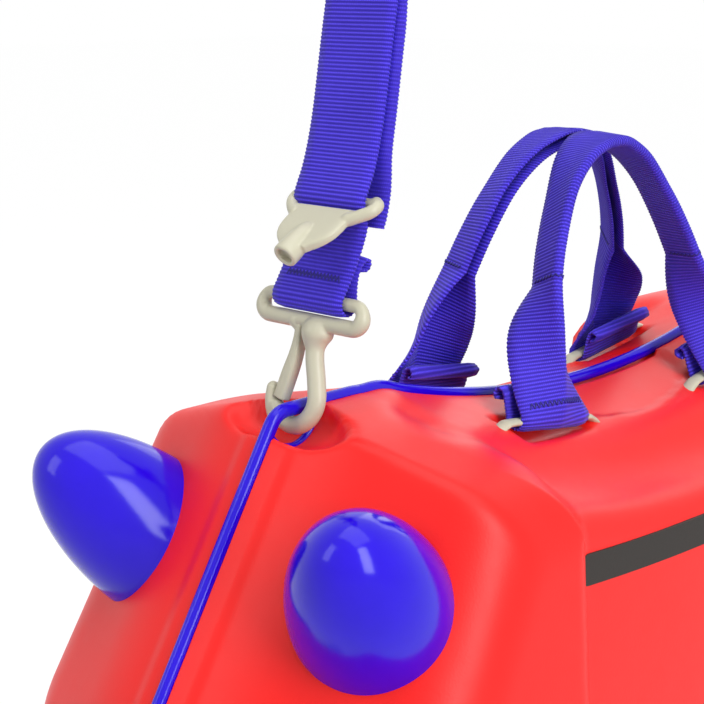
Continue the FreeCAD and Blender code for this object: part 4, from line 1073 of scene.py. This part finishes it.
# %% Handle bars
foot = [(21.0, -0.2), (25.0, -1.0), (27.6, -2.3), (29.5, -4.0)]
along, down = smooth_path([(-x, z) for x, z in foot[::-1]] + [(0.0, 0.0)] + foot, 0.8).T
bar_line = np.stack([along, 0 * along, down + math.tan(bar_tilt) * along], axis=-1)
bar_line = bar_line + (anchor_reach, anchor_half, anchor_height - bar_drop)
four_places = [(end, side, end_word + "_" + word, word + "_half") for end, end_word in ((1, "front"), (-1, "rear"))
               for side, word in ((1, "left"), (-1, "right"))]
for end, side, place, half in four_places:
    make_piece("handle_bar_" + place, *tube(bar_line * (end, side, 1.0), 1.3, 22, flat=2.2), grey_nylon, half,
               ["handle_anchor_" + place], "hardware_grey", merge=0.001)

# %% [markdown]
# ## Rubber, plastic and steel
# Wheels, catches, hinge and fasteners are rubber, moulded plastic and steel, each with its own grain.
# Six finishes could be six graphs. They differ only in colours, gloss and grain, so one function
# makes them all.


# %% Finishes for rubber, plastic and steel
def grained(name, dark, pale, rough, coarse, fine, depth, **constant):
    """Two noises: a coarse one moves the tint and the gloss, a fine one is the grain."""
    finish = Finish(name)
    wide, close = finish.noise(coarse, 4.0), finish.noise(fine, 3.0)
    return finish.surface(Base_Color=finish.mix(wide, dark, pale), Roughness=wide * 0.10 + close * 0.12 + rough,
                          Normal=finish.bump(close, depth, 0.35), **constant)


tyre_black = grained("tyre_black", rgb(34, 33, 34), rgb(52, 51, 51), 0.56, 40.0, 900.0, 0.0002)
rim_grey = grained("rim_grey", rgb(70, 71, 74), rgb(84, 85, 88), 0.36, 40.0, 1100.0, 0.0001)
stripe_dark = grained("stripe_dark", rgb(12, 9, 6), rgb(40, 33, 27), 0.50, 1400.0, 2600.0, 0.0001)
steel_finish = grained("steel_finish", rgb(176, 178, 182), rgb(206, 208, 212), 0.22, 60.0, 1600.0, 0.00005,
                       Metallic=1.0)
buckle_black = grained("buckle_black", rgb(30, 30, 32), rgb(46, 46, 49), 0.34, 50.0, 1200.0, 0.0001)
catch_grey = grained("catch_grey", rgb(180, 176, 152), rgb(198, 195, 173), 0.30, 45.0, 900.0, 0.0001)
print("finishes so far:", len(bpy.data.materials))

# %% [markdown]
# ## Wheels
# Each wheel is a soft tyre with a crowned tread, a dished disc and a blue cap that hides the axle's
# clip. The Spin tool or a Screw modifier could turn them. A closed profile turned about the axle by
# array arithmetic does the same, and rounds every edge of the profile first.


# %% Wheels
def rounded_profile(corners, radius, steps=6):
    """Closed outline with every corner rounded: a quadratic arc from one side to the next."""
    p = np.asarray(corners, dtype=float)
    before, after = np.roll(p, 1, axis=0), np.roll(p, -1, axis=0)
    shorter = np.minimum(np.linalg.norm(before - p, axis=1), np.linalg.norm(after - p, axis=1))
    reach = np.minimum(radius, 0.45 * shorter)
    a = p + unit(before - p) * reach[:, None]
    b = p + unit(after - p) * reach[:, None]
    t = np.linspace(0.0, 1.0, steps)[None, :, None]
    arc = a[:, None] * (1 - t) ** 2 + 2 * p[:, None] * t * (1 - t) + b[:, None] * t ** 2
    outline = arc.reshape(-1, 2)
    return np.concatenate([outline, outline[:1]])


wheel_near, wheel_far, disc_radius, disc_face, bore = 66.5, 94.5, 20.0, 89.5, 5.1
tread = [(26.6, wheel_near), (27.0, 74.0), (27.0, 80.0), (26.4, 80.25), (26.4, 80.75), (27.0, 81.0), (27.0, 87.0),
         (26.6, wheel_far)]
tyre_outline = rounded_profile([(disc_radius, wheel_near)] + tread + [(disc_radius, wheel_far)], 3.6)
disc_outline = rounded_profile([(bore, wheel_near), (disc_radius, wheel_near), (disc_radius, wheel_far),
                                (17.0, wheel_far), (16.2, 89.6), (12.6, disc_face), (bore, disc_face)], 1.0)
cap_top = float(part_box("wheel_cap_front_left")[1][1]) / MM
cap_outline = [(0.0, cap_top - 1.6), (9.5, cap_top - 1.9), (10.4, cap_top - 3.0),
               (10.4, disc_face), (12.0, disc_face)]
cap_outline += [(9.0 + 3.0 * math.cos(a), cap_top - 3.0 + 2.4 * math.sin(a))
                for a in np.linspace(0.0, math.pi / 2, 12)]
cap_outline += [(r, cap_top - 0.6 + 0.6 * (1 - (r / 9.0) ** 2)) for r in (7.5, 6.0, 4.5, 3.0, 1.5, 0.0)]
for end, side, place, _ in four_places:
    hub = (end * wheel_reach, 0.0, wheel_radius)
    for piece, outline, material, node, slot_name in (
            ("tyre_rubber_", tyre_outline, tyre_black, "tyre_", "tyre_black"),
            ("wheel_disc_", disc_outline, rim_grey, "wheel_rim_", "rim_grey"),
            ("wheel_dome_", cap_outline, blue_gloss, "wheel_cap_", "cap_blue")):
        make_piece(piece + place, *lathe(outline, hub, (0.0, side, 0.0), sides=96), material, "wheel_" + place,
                   [node + place], slot_name, merge=0.001, sharp=60.0)

# %% [markdown]
# ## Side stripes
# A plain dark film lies on each side wall and follows the curve of the ledge above it. It could be a
# mask in the shell's colour, but a film has an edge that catches the light. It is a strip whose middle
# line is a shallow parabola, with rounded ends.

# %% Side stripes
stripe_reach, stripe_half, stripe_corner, stripe_height = 102.0, 5.5, 4.0, 249.2


def stripe(side):
    """Six-sided sections along x, stripe_half to both sides of the middle line, with rounded corners at the ends."""
    x = np.sin(np.linspace(-math.pi / 2, math.pi / 2, 160)) * stripe_reach
    from_end = np.clip(1 - (stripe_reach - np.abs(x)) / stripe_corner, 0.0, 1.0)
    half = stripe_half - stripe_corner * (1 - np.sqrt(1 - from_end ** 2))
    middle = stripe_height + x ** 2 / 2300.0
    z = np.stack([-half, -half * 0.98, half * 0.98, half, half, -half], axis=1) + middle[:, None]
    y = np.array([75.3, 75.6, 75.6, 75.3, 74.4, 74.4])[None, :] + 0 * z
    points, faces = capped(np.stack([x[:, None] + 0 * z, y * side, z], axis=-1))
    return points, faces[:, ::side]


for side, word in ((1, "left"), (-1, "right")):
    make_piece("stripe_film_" + word, *stripe(side), stripe_dark, word + "_half", ["side_stripe_" + word],
               "stripe_dark", merge=0.001, sharp=30.0)

# %% [markdown]
# ## Packing straps
# Two woven tapes cross inside the right half and hold the load, with a moulded buckle on the crossing.
# Their ends must meet the wall, wherever it is. Each tape runs straight until a ray meets the inside of
# the shell, so the tapes follow any change of the case.

# %% Packing straps
tape_width, tape_thickness, tape_depth, crossing_height = 24.6, 1.5, 14.8, 155.0
tapes = []
for layer, angle in ((0, -32.0), (1, 32.0)):
    run = np.array([math.cos(math.radians(angle)), 0.0, -math.sin(math.radians(angle))])
    start = np.array([[0.0, tape_depth + 1.6 * layer, crossing_height]] * 2)
    reach = cast(inside, start, np.stack([run, -run]), halvings=18)
    line = start[0] + np.linspace(-float(reach[1]) + 1.0, float(reach[0]) - 1.0, 900)[:, None] * run
    line = line * (1.0, -1.0, 1.0)
    across = np.broadcast_to(np.cross(run, (0.0, 1.0, 0.0)), line.shape)
    inward = np.broadcast_to([0.0, -1.0, 0.0], line.shape)
    tapes.append(strip(line, across, inward, np.zeros(len(line)), tape_width, tape_thickness, columns=14))
make_piece("packing_tapes", *merge_parts(*[tape[:2] for tape in tapes]), webbing_black, "right_half",
           ["packing_straps"], "packing_black", uv=np.concatenate([tape[2] for tape in tapes]))

# %% [markdown]
# ## Buckle
# The buckle is a small moulded cushion with two grooves. A cube with bevels would do. A ball whose sines
# and cosines are raised to a small power is a box with round corners in one formula.

# %% Buckle
tip = np.linspace(-math.pi / 2, math.pi / 2, 60)
flat_c, flat_s = squared(turns(120)[None, :], 0.3)
deep_c, deep_s = squared(tip[:, None], 0.22)
x, z = 26.0 * deep_c * flat_c, 20.0 * deep_c * flat_s
groove = 0.9 * np.exp(-(((np.abs(x) - 9.0) / 0.8) ** 2)) * (np.abs(z) < 15.0) * (deep_s > 0.5)
y = -9.5 + 4.4 * deep_s - groove
cushion = np.stack([x, y, z + crossing_height], axis=-1).reshape(-1, 3)
make_piece("buckle_shell", cushion, grid_faces(60, 120, wrap_columns=True)[:, ::-1],
           buckle_black, "right_half", ["packing_buckle"], "buckle_black", merge=0.02, sharp=50.0)

# %% [markdown]
# ## Catches, hinge and fasteners
# These small solids are right as they were packed, so they stay and only take their finishes, in the
# material slots that they came with.

# %% Finishes on the solids that stay
kept = {
    "lock_blue": (blue_gloss, ["catch_lock_front", "catch_lock_rear"]),
    "hinge_red": (red_plastic, ["hinge_leaf_left", "hinge_leaf_right"]),
    "catch_grey": (catch_grey, [n for n in nodes if n.startswith(("catch_base", "catch_lever", "catch_keeper"))]),
}
named = {name for _, names in kept.values() for name in names}
kept["steel"] = (steel_finish, [n for n, thing in nodes.items() if n not in named and not thing.hide_render])
for slot_name, (material, names) in kept.items():
    for name in names:
        for holder in nodes[name].material_slots:
            holder.material = material
    print(slot_name, [(name, len(nodes[name].material_slots)) for name in names])
